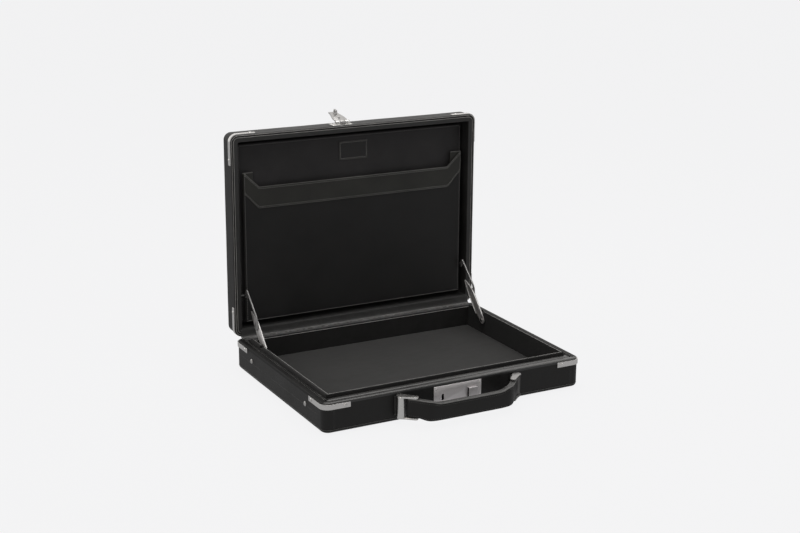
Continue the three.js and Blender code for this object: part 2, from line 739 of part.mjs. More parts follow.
function haspLeaf() {
  const leftHalf = LEAF_HALF.map(([x, z]) => [-x, z]);
  const outline = [...leftHalf, ...LEAF_HALF.slice().reverse()];
  return cut(
    join(
      slab("xz", outline, 0.1, 1.7, [[0, -11.5, 2.1, 14]]),
      rod("x", HASP_KNUCKLE_R, -LEAF_KNUCKLE_X, LEAF_KNUCKLE_X, 0, 0, 16),
      box(-1.4, 1.4, 1.2, 8.7, TONGUE_Z - 3.3, TONGUE_Z + 3.3),
    ),
    rod("x", HASP_BORE_R, -20, 20, 0, 0, 12),
    // opening through the tongue
    box(-3, 3, 4.6, 7.7, TONGUE_Z - 1.9, TONGUE_Z + 1.9),
  ).translate(HASP_X, 0, 0);
}
put(hasp, "hasp_leaf", STEEL, haspLeaf());

// --------------------------------------------------------------------- handle
const HANDLE_X = 90; // yoke axes, either side of the middle
const HANDLE_Y = FRONT - 7;
const ARM_Z = [9.4, 36.4]; // facing sides of the yoke's two arms
const ARM_T = 2.4; // thickness of an arm
const MOUNT_Z = [ARM_Z[0] + 0.3, ARM_Z[1] - 0.3];
const YOKE_OUT = 23.4; // length of the yoke's arms from the axis
const YOKE_ANGLE = (-44.6 * Math.PI) / 180; // direction of the left yoke's arms
// An arm's outline: along it from the axis, and across it.
const ARM_OUTLINE = [
  ...arc(0, 0, 6.2, 90, 270, 12),
  [8, -4.6],
  [YOKE_OUT - 2, -4],
  [YOKE_OUT, -2.4],
  [YOKE_OUT, 2.4],
  [YOKE_OUT - 2, 4],
  [8, 4.6],
];
// Degrees from the arm's direction. The left web wraps the front of its post;
// the right one is a short piece on the post's outer side.
const WEB_ANGLES = { left: [-128, -2], right: [-178, -137] };

// Fixed mount: a wall plate, a rib and an upright post.
const handleMount = (x) =>
  join(
    box(x - 7, x + 7, FRONT - 1.6, FRONT - SKIN_GAP, ...MOUNT_Z),
    box(x - 2.4, x + 2.4, HANDLE_Y, FRONT - 1, ...MOUNT_Z),
    rod("z", 4.2, ...MOUNT_Z, x, HANDLE_Y, 20),
  );

// Yoke: two arms and a curved web around the post.
function handleYoke(side, sign) {
  const cos = Math.cos(YOKE_ANGLE);
  const sin = Math.sin(YOKE_ANGLE);
  const place = ([along, across]) => [
    sign * (HANDLE_X - along * cos + across * sin),
    HANDLE_Y + along * sin + across * cos,
  ];
  const [from, to] = WEB_ANGLES[side];
  const web = [...arc(0, 0, 6.6, from, to, 9), ...arc(0, 0, 5.2, to, from, 9)];
  const arm = ARM_OUTLINE.map(place);
  return join(
    slab("xy", arm, ARM_Z[1], ARM_Z[1] + ARM_T),
    slab("xy", arm, ARM_Z[0] - ARM_T, ARM_Z[0]),
    slab("xy", web.map(place), ARM_Z[0] - 1, ARM_Z[1] + 1),
  );
}
for (const [side, sign] of SIDES) {
  put(object, `handle_mount_${side}`, STEEL, handleMount(sign * HANDLE_X));
  put(object, `handle_yoke_${side}`, STEEL, handleYoke(side, sign));
}

// The grip: a leather strap, taller and nearer the case at its ends. Stations
// from the left end to the middle:
// x, y, turn of the section (degrees), lower z, upper z, half thickness.
const GRIP = [
  [-83.2, -162.7, -44.6, 9.9, 35.9, 4.0],
  [-72, -173.7, -44.6, 9.9, 35.9, 4.3],
  [-67.5, -178.2, -42, 8.6, 35.7, 4.4],
  [-63.2, -181.4, -28, 7.2, 35.2, 4.5],
  [-58.5, -182.9, -10, 6.6, 34.2, 4.5],
  [-51, -183.2, -1, 6.2, 31.4, 4.5],
  [-43, -183.2, 0, 6.0, 30.3, 4.5],
  [0, -183.2, 0, 6.0, 30.2, 4.5],
];
const GRIP_CHAMFER = 1.4;

function gripSection([x, y, turn, z0, z1, half]) {
  const angle = (turn * Math.PI) / 180;
  const c = GRIP_CHAMFER;
  // offset across the strap, towards the case, and height
  return [
    [-half, z0 + c],
    [-half + c, z0],
    [half - c, z0],
    [half, z0 + c],
    [half, z1 - c],
    [half - c, z1],
    [-half + c, z1],
    [-half, z1 - c],
  ].map(([offset, z]) => [x - offset * Math.sin(angle), y + offset * Math.cos(angle), z]);
}

function handleGrip() {
  const rightHalf = GRIP.slice(0, -1)
    .reverse()
    .map(([x, y, turn, ...rest]) => [-x, y, -turn, ...rest]);
  return loft([...GRIP, ...rightHalf].map(gripSection));
}
put(object, "handle_grip", LEATHER, handleGrip());

export default object;
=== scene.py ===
"""Attache case: leather shells, suede lining, pocket organiser, nickel hardware and a strap handle,
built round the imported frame. Sizes below are millimetres and are scaled to metres when a mesh is made."""

import bpy
import bmesh
import json
import math
import random
import numpy as np
from mathutils import Matrix, Vector, noise


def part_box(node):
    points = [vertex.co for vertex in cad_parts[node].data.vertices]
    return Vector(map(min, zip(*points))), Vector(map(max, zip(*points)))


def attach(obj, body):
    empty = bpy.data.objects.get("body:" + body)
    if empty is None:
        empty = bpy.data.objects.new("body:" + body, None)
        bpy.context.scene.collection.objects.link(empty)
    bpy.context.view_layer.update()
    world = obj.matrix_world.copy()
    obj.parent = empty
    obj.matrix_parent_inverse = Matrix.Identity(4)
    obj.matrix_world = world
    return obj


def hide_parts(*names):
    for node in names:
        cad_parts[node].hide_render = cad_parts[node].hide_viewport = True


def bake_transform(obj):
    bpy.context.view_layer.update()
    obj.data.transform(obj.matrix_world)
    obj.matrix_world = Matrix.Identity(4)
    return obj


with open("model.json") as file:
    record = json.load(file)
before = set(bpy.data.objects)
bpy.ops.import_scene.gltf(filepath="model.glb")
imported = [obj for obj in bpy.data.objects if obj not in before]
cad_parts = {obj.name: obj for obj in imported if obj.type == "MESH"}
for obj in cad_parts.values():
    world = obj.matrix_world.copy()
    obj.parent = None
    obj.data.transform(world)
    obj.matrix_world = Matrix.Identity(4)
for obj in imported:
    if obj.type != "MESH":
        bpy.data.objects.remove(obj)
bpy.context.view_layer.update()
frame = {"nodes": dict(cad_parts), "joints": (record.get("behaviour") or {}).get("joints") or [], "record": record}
NODES = frame["nodes"]
MM = 0.001


def nb(node):
    """A node's box at rest in millimetres: (lo, hi)."""
    lo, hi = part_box(node)
    return np.array(lo) * 1000, np.array(hi) * 1000


# ------------------------------------------------------------------ frame sizes
SH_LO, SH_HI = nb("base_shell")
W, D, BASE_H = SH_HI[0] - SH_LO[0], SH_HI[1] - SH_LO[1], SH_HI[2]
LID_LO, LID_HI = nb("lid_shell")
LID_H = LID_HI[1] - LID_LO[1]
JOINTS = {j["name"]: j for j in frame["joints"]} if isinstance(frame["joints"], list) else frame["joints"]
REC_J = {j["name"]: j for j in frame["record"]["behaviour"]["joints"]}
HY, HZ = [c * 1000 for c in REC_J["lid_hinge"]["pos_m"][1:]]
RIM_Z = HZ + LID_LO[1] - HY  # the lid's rim when shut
CR = 11.0


def opened(v):
    """Turns points drawn with the lid shut to where they are with it open."""
    v = np.asarray(v, float)
    out = v.copy()
    out[..., 1] = HY + (v[..., 2] - HZ)
    out[..., 2] = HZ - (v[..., 1] - HY)
    return out


def vy(z):
    return HY - (z - HZ)


def wz(w):
    return RIM_Z + w


# -------------------------------------------------------------------- materials
def new_mat(name):
    m = bpy.data.materials.new(name)
    m.use_nodes = True
    nt = m.node_tree
    nt.nodes.clear()
    out = nt.nodes.new("ShaderNodeOutputMaterial")
    bsdf = nt.nodes.new("ShaderNodeBsdfPrincipled")
    nt.links.new(bsdf.outputs[0], out.inputs[0])
    return m, nt, bsdf


class G:
    """Short hand for wiring nodes."""

    def __init__(self, nt):
        self.nt = nt
        self.tc = nt.nodes.new("ShaderNodeTexCoord").outputs["Object"]

    def link(self, a, b):
        self.nt.links.new(a, b)

    def node(self, kind, **kw):
        n = self.nt.nodes.new(kind)
        for k, v in kw.items():
            setattr(n, k, v)
        return n

    def mapping(self, scale=(1, 1, 1), rot=(0, 0, 0), vec=None):
        n = self.node("ShaderNodeMapping")
        n.inputs["Scale"].default_value = scale
        n.inputs["Rotation"].default_value = rot
        self.link(vec or self.tc, n.inputs["Vector"])
        return n.outputs[0]

    def noise(self, scale, detail=2.0, rough=0.5, vec=None, distortion=0.0):
        n = self.node("ShaderNodeTexNoise")
        n.inputs["Scale"].default_value = scale
        n.inputs["Detail"].default_value = detail
        n.inputs["Roughness"].default_value = rough
        n.inputs["Distortion"].default_value = distortion
        self.link(vec or self.tc, n.inputs["Vector"])
        return n.outputs["Fac"]

    def voronoi(self, scale, feature="F1", vec=None, randomness=1.0):
        n = self.node("ShaderNodeTexVoronoi", feature=feature)
        n.inputs["Scale"].default_value = scale
        n.inputs["Randomness"].default_value = randomness
        self.link(vec or self.tc, n.inputs["Vector"])
        return n.outputs["Distance"]

    def ramp(self, fac, stops, interp="LINEAR"):
        n = self.node("ShaderNodeValToRGB")
        n.color_ramp.interpolation = interp
        el = n.color_ramp.elements
        while len(el) < len(stops):
            el.new(0.5)
        for e, (p, c) in zip(el, stops):
            e.position = p
            e.color = (c, c, c, 1) if not hasattr(c, "__len__") else (*c, 1)
        self.link(fac, n.inputs[0])
        return n.outputs[0]

    def math(self, op, a, b=None, clamp=False):
        n = self.node("ShaderNodeMath", operation=op, use_clamp=clamp)
        for i, v in enumerate((a, b)):
            if v is None:
                continue
            if isinstance(v, (int, float)):
                n.inputs[i].default_value = v
            else:
                self.link(v, n.inputs[i])
        return n.outputs[0]

    def range(self, v, a, b, c, d):
        n = self.node("ShaderNodeMapRange")
        self.link(v, n.inputs[0])
        for i, x in enumerate((a, b, c, d)):
            n.inputs[1 + i].default_value = x
        return n.outputs[0]

    def mix(self, fac, a, b):
        n = self.node("ShaderNodeMix", data_type="RGBA")
        for sock, v in ((n.inputs[0], fac), (n.inputs[6], a), (n.inputs[7], b)):
            if hasattr(v, "links") or hasattr(v, "is_linked"):
                self.link(v, sock)
            elif hasattr(v, "__len__"):
                sock.default_value = (*v, 1)
            else:
                sock.default_value = v
        return n.outputs[2]

    def bump(self, height, dist, strength=1.0, normal=None):
        n = self.node("ShaderNodeBump")
        n.inputs["Strength"].default_value = strength
        n.inputs["Distance"].default_value = dist
        self.link(height, n.inputs["Height"])
        if normal is not None:
            self.link(normal, n.inputs["Normal"])
        return n.outputs[0]


def leather(name, base, cell=0.9, depth=0.06, rough=0.5, spec=0.5, sheen=0.0, tint=0.25, worn=0.25,
            crease=0.4, coat=0.0, painted_flank_shade=False, strip=False):
    """Grained leather. cell is the grain size in mm, depth its relief in mm."""
    m, nt, b = new_mat(name)
    g = G(nt)
    warp = g.node("ShaderNodeVectorMath", operation="ADD")
    nz = g.node("ShaderNodeTexNoise")
    nz.inputs["Scale"].default_value = 260
    nz.inputs["Detail"].default_value = 2
    g.link(g.tc, nz.inputs["Vector"])
    sc = g.node("ShaderNodeVectorMath", operation="SCALE")
    g.link(nz.outputs["Color"], sc.inputs[0])
    sc.inputs["Scale"].default_value = 0.0016
    g.link(g.tc, warp.inputs[0])
    g.link(sc.outputs[0], warp.inputs[1])
    wv = warp.outputs[0]
    cells = g.voronoi(1000 / cell, "DISTANCE_TO_EDGE", wv)
    pebble = g.range(cells, 0.0, 0.28, 0.0, 1.0)
    fine = g.noise(1000 / cell * 3.1, 3, 0.6)
    pores = g.voronoi(1000 / cell * 0.62, "F1", wv)
    big = g.noise(22, 3, 0.55)
    mid = g.noise(130, 4, 0.6)
    h = g.math("ADD", g.math("MULTIPLY", pebble, 0.72), g.math("MULTIPLY", fine, 0.28))
    h = g.math("SUBTRACT", h, g.math("MULTIPLY", g.range(pores, 0.0, 0.16, 1.0, 0.0), 0.35))
    n1 = g.bump(h, depth * MM, 1.0)
    n2 = g.bump(mid, crease * MM, 0.35, n1)
    g.link(n2, b.inputs["Normal"])
    lo = tuple(c * (1 - tint) for c in base)
    hi = tuple(c * (1 + tint) for c in base)
    col = g.mix(g.range(big, 0.3, 0.7, 0, 1), lo, hi)
    col = g.mix(g.math("MULTIPLY", g.range(pebble, 0.0, 0.5, 1.0, 0.0), 0.5), col, tuple(c * 0.45 for c in base))
    # wear along raised edges
    geo = g.node("ShaderNodeNewGeometry")
    edge = g.range(geo.outputs["Pointiness"], 0.52, 0.62, 0.0, 1.0)
    edge = g.math("MULTIPLY", edge, g.range(mid, 0.35, 0.7, 0.2, 1.0))
    col = g.mix(g.math("MULTIPLY", edge, worn), col, tuple(min(1, c * 3.4 + 0.02) for c in base))
    if painted_flank_shade:
        # painted shade: the flanks of a bead below its crown are darkened, standing in for the shade beside the lit
        # crown
        sep = g.node("ShaderNodeSeparateXYZ")
        g.link(g.tc, sep.inputs[0])
        col = g.mix(g.range(sep.outputs[2], 0.0408, 0.0421, 0.0, 1.0), tuple(c * 0.2 for c in base), col)
    if strip:
        # painted highlight and painted shade, with a real scuff pattern: the part that lies on the base's rim faces up
        # and is painted pale, broken by scuffs, and the hanging part is painted darker
        sep = g.node("ShaderNodeSeparateXYZ")
        g.link(g.tc, sep.inputs[0])
        scuff = g.noise(420, 4, 0.75, g.mapping((0.55, 1.0, 1.0)))
        wide = g.noise(60, 2, 0.5)
        k = g.range(sep.outputs[1], 0.1462, 0.1484, 1.0, 0.0)
        k = g.math("MULTIPLY", k, g.range(wide, 0.3, 0.65, 0.55, 1.0))
        lit = g.mix(g.range(scuff, 0.42, 0.58, 0.0, 1.0), tuple(c * 0.85 for c in base), tuple(min(1, c * 3.6) for c in base))
        col = g.mix(k, tuple(c * 0.5 for c in base), lit)
    g.link(col, b.inputs["Base Color"])
    r = g.math("ADD", g.range(big, 0.25, 0.75, rough - 0.06, rough + 0.06), g.range(pebble, 0, 0.6, 0.1, 0.0))
    r = g.math("SUBTRACT", r, g.math("MULTIPLY", edge, 0.08))
    g.link(r, b.inputs["Roughness"])
    b.inputs["Specular IOR Level"].default_value = spec
    b.inputs["Sheen Weight"].default_value = sheen
    b.inputs["Sheen Roughness"].default_value = 0.5
    b.inputs["Coat Weight"].default_value = coat
    b.inputs["Coat Roughness"].default_value = 0.35
    return m


def suede(name, base, rough=0.92, sheen=0.5, tint=0.2):
    m, nt, b = new_mat(name)
    g = G(nt)
    nap = g.noise(2600, 3, 0.7)
    brush = g.noise(46, 4, 0.62, g.mapping((1.0, 2.6, 1.0), (0, 0, 0.5)), 0.6)
    big = g.noise(9, 2, 0.5)
    g.link(g.bump(nap, 0.05 * MM, 0.6, g.bump(brush, 0.3 * MM, 0.3)), b.inputs["Normal"])
    lo = tuple(c * (1 - tint) for c in base)
    hi = tuple(c * (1 + tint) for c in base)
    col = g.mix(g.range(brush, 0.3, 0.7, 0, 1), lo, hi)
    col = g.mix(g.math("MULTIPLY", g.range(big, 0.35, 0.7, 0, 1), 0.5), col, hi)
    col = g.mix(g.math("MULTIPLY", nap, 0.35), col, lo)
    g.link(col, b.inputs["Base Color"])
    b.inputs["Roughness"].default_value = rough
    b.inputs["Specular IOR Level"].default_value = 0.18
    b.inputs["Sheen Weight"].default_value = sheen
    b.inputs["Sheen Roughness"].default_value = 0.45
    return m


def metal(name, base, rough=0.25, brush=(1, 1, 1), grain=900, depth=0.008, spots=0.1, aniso=0.0, metallic=1.0, painted_shade_band=None):
    """Plated metal with a fine brushed grain and faint handling marks, and an optional painted shade that darkens the
    colour between two heights.
    """
    m, nt, b = new_mat(name)
    g = G(nt)
    fine = g.noise(grain, 3, 0.7, g.mapping(brush))
    smudge = g.noise(70, 3, 0.6)
    scr = g.noise(500, 2, 0.5, g.mapping((0.12, 1.0, 1.0), (0.4, 0.2, 0.9)))
    g.link(g.bump(fine, depth * MM, 0.6, g.bump(scr, depth * 0.8 * MM, 0.25)), b.inputs["Normal"])
    col = g.mix(g.math("MULTIPLY", g.range(smudge, 0.4, 0.75, 0, 1), spots), base, tuple(c * 0.72 for c in base))
    if painted_shade_band:
        # painted shade: the colour darkens towards the elbow, between two heights, standing in for a dark reflection
        # there
        sep = g.node("ShaderNodeSeparateXYZ")
        g.link(g.tc, sep.inputs[0])
        col = g.mix(g.range(sep.outputs[2], painted_shade_band[0], painted_shade_band[1], 0.0, 0.75), col, tuple(c * 0.12 for c in base))
    g.link(col, b.inputs["Base Color"])
    r = g.math("ADD", g.range(smudge, 0.3, 0.75, rough * 0.8, rough * 1.35), g.range(fine, 0.3, 0.7, -0.03, 0.05))
    g.link(r, b.inputs["Roughness"])
    b.inputs["Metallic"].default_value = metallic
    b.inputs["Anisotropic"].default_value = aniso
    return m


def thread(name, base):
    m, nt, b = new_mat(name)
    g = G(nt)
    tw = g.node("ShaderNodeTexWave", wave_type="BANDS", bands_direction="DIAGONAL")
    tw.inputs["Scale"].default_value = 900
    tw.inputs["Distortion"].default_value = 1.0
    g.link(g.tc, tw.inputs["Vector"])
    g.link(g.bump(tw.outputs["Fac"], 0.04 * MM, 0.7), b.inputs["Normal"])
    g.link(g.mix(g.math("MULTIPLY", tw.outputs["Fac"], 0.5), base, tuple(c * 0.5 for c in base)), b.inputs["Base Color"])
    b.inputs["Roughness"].default_value = 0.55
    b.inputs["Sheen Weight"].default_value = 0.2
    return m


M = {
    "case": leather("case_leather", (0.0105, 0.0100, 0.0096), cell=0.8, depth=0.035, rough=0.47, spec=0.42, worn=0.35),
    # rim_side_shaded: a darker, less glossy copy of the rim leather; the darker colour is painted shade on the side
    # rails
    "rim_side_shaded": leather("rim_side_leather", (0.0150, 0.0147, 0.0144), cell=0.7, depth=0.012, rough=0.52, spec=0.22, worn=0.5, crease=0.12),
    # rim: a paler copy of the case leather, partly a painted highlight on the lit beads, with its bead flanks darkened
    # as painted shade
    "rim": leather("rim_leather", (0.0400, 0.0395, 0.0385), cell=0.7, depth=0.012, rough=0.36, spec=0.8, worn=0.5, crease=0.12, coat=0.4, painted_flank_shade=True),
    # lid_line: pale leather for painted highlight lines on the lid's rim
    "lid_line": leather("lid_rim_highlight_leather", (0.24, 0.234, 0.225), cell=0.5, depth=0.01, rough=0.35, spec=0.6, worn=0.4, crease=0.1),
    "lidrim": leather("lid_rim_leather", (0.0275, 0.0272, 0.0268), cell=0.7, depth=0.02, rough=0.46, spec=0.5, worn=0.5, crease=0.25),
    "panel": leather("pocket_leather", (0.0125, 0.0120, 0.0122), cell=0.6, depth=0.02, rough=0.58, spec=0.35, worn=0.2, sheen=0.05),
    "band": leather("pocket_band_leather", (0.0262, 0.0258, 0.0226), cell=1.1, depth=0.07, rough=0.55, spec=0.42, worn=0.2),
    "liner": leather("liner_leather", (0.0262, 0.0245, 0.0254), cell=0.6, depth=0.02, rough=0.6, spec=0.35, worn=0.2, sheen=0.05),
    "patch": leather("patch_leather", (0.0150, 0.0145, 0.0145), cell=0.7, depth=0.03, rough=0.5, spec=0.45, worn=0.4),
    "edge": leather("turned_edge_leather", (0.075, 0.074, 0.072), cell=0.6, depth=0.01, rough=0.4, spec=0.5, worn=0.3, crease=0.1),
    # fold_edge_lit: pale leather for the painted highlight on the hinge strip's fold
    "fold_edge_lit": leather("fold_edge_leather", (0.19, 0.188, 0.184), cell=0.7, depth=0.03, rough=0.4, spec=0.5, worn=0.4, crease=0.4),
    # flap: its strip option paints a highlight on the part lying on the base's rim and shade on the hanging part
    "flap": leather("flap_leather", (0.0820, 0.0810, 0.0800), cell=0.9, depth=0.07, rough=0.5, spec=0.5, worn=0.6, crease=1.1, strip=True),
    "grip": leather("grip_leather", (0.0098, 0.0092, 0.0088), cell=0.8, depth=0.035, rough=0.44, spec=0.42, worn=0.6),
    # grip_top_lit: paler leather for the painted highlight on the grip's top
    "grip_top_lit": leather("grip_top_leather", (0.052, 0.051, 0.050), cell=0.7, depth=0.02, rough=0.36, spec=0.6, worn=0.5),
    "piping": leather("piping_leather", (0.115, 0.113, 0.110), cell=0.6, depth=0.02, rough=0.36, spec=0.6, worn=0.5),
    "seam": leather("seam_leather", (0.030, 0.0295, 0.029), cell=0.5, depth=0.01, rough=0.32, spec=0.6, worn=0.4, crease=0.1),
    "roll": leather("rolled_edge_leather", (0.070, 0.069, 0.064), cell=0.6, depth=0.02, rough=0.34, spec=0.6, worn=0.6, crease=0.1),
    "lining": suede("suede_lining", (0.0190, 0.0187, 0.0184), sheen=0.15),
    "pad": suede("suede_pad", (0.0300, 0.0298, 0.0292), sheen=0.25),
    "strap": metal("strap_nickel", (0.80, 0.785, 0.77), 0.20, (1, 1, 14), 420, 0.006),
    "lock": metal("lock_nickel", (0.86, 0.83, 0.835), 0.48, (0.6, 1, 16), 600, 0.0015, 0.05, metallic=0.6),
    "button": metal("button_nickel", (0.80, 0.775, 0.78), 0.42, (14, 1, 0.6), 600, 0.002, 0.08, metallic=0.6),
    # lining_edge: pale leather for the painted highlight on the lining's top edge
    "lining_edge": leather("lining_edge_highlight_leather", (0.32, 0.314, 0.306), cell=0.5, depth=0.01, rough=0.4, spec=0.6, worn=0.3, crease=0.1),
    "foot_seam": leather("foot_seam_leather", (0.052, 0.051, 0.050), cell=0.5, depth=0.01, rough=0.36, spec=0.6, worn=0.4, crease=0.1),
    # rail_line: pale leather for painted highlight lines on the side rails
    "rail_line": leather("rail_highlight_leather", (0.120, 0.118, 0.115), cell=0.5, depth=0.01, rough=0.35, spec=0.6, worn=0.4, crease=0.1),
    "hasp": metal("hasp_nickel", (0.50, 0.492, 0.485), 0.30, (1, 1, 8), 400, 0.006, metallic=0.95),
    # yoke_shaded: a darker copy of the yoke metal, painted shade
    "yoke_shaded": metal("yoke_far_nickel", (0.40, 0.395, 0.39), 0.36, (1, 1, 8), 400, 0.006, metallic=0.9),
    "yoke": metal("yoke_nickel", (0.82, 0.81, 0.79), 0.20, (1, 1, 8), 400, 0.006),
    # mount: a dark copy of the nickel, painted shade
    "mount": metal("mount_shade_nickel", (0.16, 0.158, 0.155), 0.42, (1, 1, 1), 500, 0.004, 0.1),
    "stud": metal("stud_nickel", (0.52, 0.51, 0.50), 0.36, (1, 1, 1), 500, 0.003, 0.2),
    # stay_upper: a darker copy of the stay metal, painted shade
    "stay_upper": metal("stay_upper_shade_nickel", (0.34, 0.335, 0.33), 0.42, (1, 1, 1), 700, 0.003, 0.08, metallic=0.8),
    # stay: its colour is darkened towards the elbow as painted shade
    "stay": metal("stay_nickel", (0.74, 0.72, 0.71), 0.42, (1, 1, 1), 700, 0.003, 0.08, metallic=0.72, painted_shade_band=(0.062, 0.092)),
    # lip: a brighter copy of the stay metal, painted highlight
    "lip": metal("stay_lip_highlight_nickel", (0.95, 0.94, 0.93), 0.30, (1, 1, 1), 700, 0.002, 0.05, metallic=0.8),
    "polished": metal("polished_nickel", (0.84, 0.83, 0.81), 0.12, (1, 1, 1), 600, 0.003, 0.12),
    "dark": metal("dark_steel", (0.09, 0.09, 0.09), 0.5, (1, 1, 1), 300, 0.02, 0.3),
    "hinge": metal("hinge_nickel", (0.70, 0.69, 0.67), 0.28, (1, 6, 6), 420, 0.008),
    "thread": thread("thread_dark", (0.20, 0.197, 0.19)),
    "thread_patch": thread("thread_patch", (0.30, 0.295, 0.28)),
    "thread_grip": thread("thread_grip", (0.075, 0.073, 0.070)),
}


# ----------------------------------------------------------------- mesh helpers
def build(name, verts, faces, body, mat, replaces=(), lid=False, sharp=38, smooth=True):
    v = np.asarray(verts, float)
    if lid:
        v = opened(v)
    me = bpy.data.meshes.new(name)
    me.from_pydata((v * MM).tolist(), [], [list(map(int, f)) for f in faces])
    me.validate()
    return finish_mesh(name, me, body, mat, replaces, sharp, smooth)


def finish_mesh(name, me, body, mat, replaces=(), sharp=38, smooth=True, recalc=True):
    if recalc:
        bm = bmesh.new()
        bm.from_mesh(me)
        bmesh.ops.remove_doubles(bm, verts=bm.verts, dist=2e-7)
        bmesh.ops.recalc_face_normals(bm, faces=bm.faces)
        bm.to_mesh(me)
        bm.free()
    me.polygons.foreach_set("use_smooth", [smooth] * len(me.polygons))
    if smooth:
        me.set_sharp_from_angle(angle=math.radians(sharp))
    me.materials.clear()
    me.materials.append(M[mat])
    o = bpy.data.objects.new(name, me)
    bpy.context.scene.collection.objects.link(o)
    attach(o, body)
    if replaces:
        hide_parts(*replaces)
    return o


def skin(loops, ring=False):
    """Quads over a stack of equal loops; capped when it isn't a ring."""
    n = len(loops[0])
    m = len(loops)
    v = [p for l in loops for p in l]
    f = []
    for k in range(m if ring else m - 1):
        a, b = k * n, ((k + 1) % m) * n
        for i in range(n):
            j = (i + 1) % n
            f.append((a + i, a + j, b + j, b + i))
    if not ring:
        f.append(tuple(range(n))[::-1])
        f.append(tuple(range((m - 1) * n, m * n)))
    return np.array(v, float), f


def rr(x0, x1, y0, y1, r, z, n=8, xs=(), ys=()):
    """A rounded rectangle at height z, with extra points at xs and ys along its straight edges."""
    out = []

    def arc(cx, cy, a0):
        for i in range(n + 1):
            a = math.radians(a0 + 90 * i / n)
            out.append((cx + r * math.cos(a), cy + r * math.sin(a), z))

    arc(x1 - r, y1 - r, 0)
    out.extend((x, y1, z) for x in reversed(xs))
    arc(x0 + r, y1 - r, 90)
    out.extend((x0, y, z) for y in reversed(ys))
    arc(x0 + r, y0 + r, 180)
    out.extend((x, y0, z) for x in xs)
    arc(x1 - r, y0 + r, 270)
    out.extend((x1, y, z) for y in ys)
    return np.array(out)


XS = [float(x) for x in np.linspace(-180, 180, 31)]
YS = [float(y) for y in np.linspace(-127, 127, 23)]


def inset(o, z, rmin=2.0, xs=XS, ys=YS):
    return rr(-W / 2 + o, W / 2 - o, -D / 2 + o, D / 2 - o, max(CR - o, rmin), z, 8, xs, ys)


def wavy(v, amp, size, seed=0.0, axes=(1, 1, 1)):
    """Small smooth unevenness, as in leather stretched over board."""
    out = np.array(v, float)
    for i, p in enumerate(out):
        q = Vector((p[0] / size + seed, p[1] / size - seed, p[2] / size + 2 * seed))
        out[i] += np.array(noise.noise_vector(q)) * amp * np.array(axes)
    return out


def lathe(profile, n=32):
    """Turned about +Z. profile is (r, z) from the axis and back to it."""
    v, f = [], []
    rings = []
    for r, z in profile:
        if r < 1e-6:
            rings.append([len(v)])
            v.append((0, 0, z))
        else:
            rings.append(list(range(len(v), len(v) + n)))
            v += [(r * math.cos(2 * math.pi * i / n), r * math.sin(2 * math.pi * i / n), z) for i in range(n)]
    for a, b in zip(rings, rings[1:]):
        for i in range(n):
            j = (i + 1) % n
            if len(a) == 1 and len(b) == 1:
                continue
            if len(a) == 1:
                f.append((a[0], b[j], b[i]))
            elif len(b) == 1:
                f.append((a[i], a[j], b[0]))
            else:
                f.append((a[i], a[j], b[j], b[i]))
    return np.array(v, float), f


def plate(outline, lo, hi, bevel=0.3, holes=(), res=2):
    """A flat plate with rounded edges and holes, drawn in XY from lo to hi. Returns a mesh in mm."""
    cu = bpy.data.curves.new("tmp", "CURVE")
    cu.dimensions = "2D"
    cu.fill_mode = "BOTH"
    cu.extrude = (hi - lo) / 2 - bevel
    cu.bevel_depth = bevel
    cu.bevel_resolution = res
    cu.offset = -bevel
    for poly in [outline, *holes]:
        sp = cu.splines.new("POLY")
        sp.points.add(len(poly) - 1)
        sp.use_cyclic_u = True
        for p, (x, y) in zip(sp.points, poly):
            p.co = (x, y, 0, 1)
    ob = bpy.data.objects.new("tmp", cu)
    bpy.context.scene.collection.objects.link(ob)
    dg = bpy.context.evaluated_depsgraph_get()
    me = bpy.data.meshes.new_from_object(ob.evaluated_get(dg))
    bpy.data.objects.remove(ob)
    bpy.data.curves.remove(cu)
    bm = bmesh.new()
    bm.from_mesh(me)
    bmesh.ops.remove_doubles(bm, verts=bm.verts, dist=1e-4)
    bmesh.ops.translate(bm, verts=bm.verts, vec=(0, 0, (lo + hi) / 2))
    bm.to_mesh(me)
    bm.free()
    return me


def circle(cx, cy, r, n=24, a0=0.0):
    return [(cx + r * math.cos(a0 + 2 * math.pi * i / n), cy + r * math.sin(a0 + 2 * math.pi * i / n)) for i in range(n)]


def arc_pts(cx, cy, r, a0, a1, n=8):
    return [(cx + r * math.cos(math.radians(a0 + (a1 - a0) * i / n)),
             cy + r * math.sin(math.radians(a0 + (a1 - a0) * i / n))) for i in range(n + 1)]


def mesh_map(me, fn):
    """Moves each vertex of a mesh in mm with fn (an Nx3 array to an Nx3 array)."""
    co = np.empty(len(me.vertices) * 3)
    me.vertices.foreach_get("co", co)
    co = np.asarray(fn(co.reshape(-1, 3)), float)
    me.vertices.foreach_set("co", co.ravel())
    me.update()
    return me


def to_m(me):
    return mesh_map(me, lambda v: v * MM)


def xz(v):
    """A plate drawn as (x, z) with its thickness along +y."""
    return np.stack([v[:, 0], -v[:, 2], v[:, 1]], 1)


def merged(parts):
    """Joins meshes in mm into one mesh."""
    bm = bmesh.new()
    for me in parts:
        bm.from_mesh(me)
    out = bpy.data.meshes.new("merged")
    bm.to_mesh(out)
    bm.free()
    return out


def mesh_of(verts, faces):
    me = bpy.data.meshes.new("m")
    me.from_pydata(np.asarray(verts, float).tolist(), [], [list(map(int, f)) for f in faces])
    bm = bmesh.new()
    bm.from_mesh(me)
    bmesh.ops.recalc_face_normals(bm, faces=bm.faces)
    bm.to_mesh(me)
    bm.free()
    return me


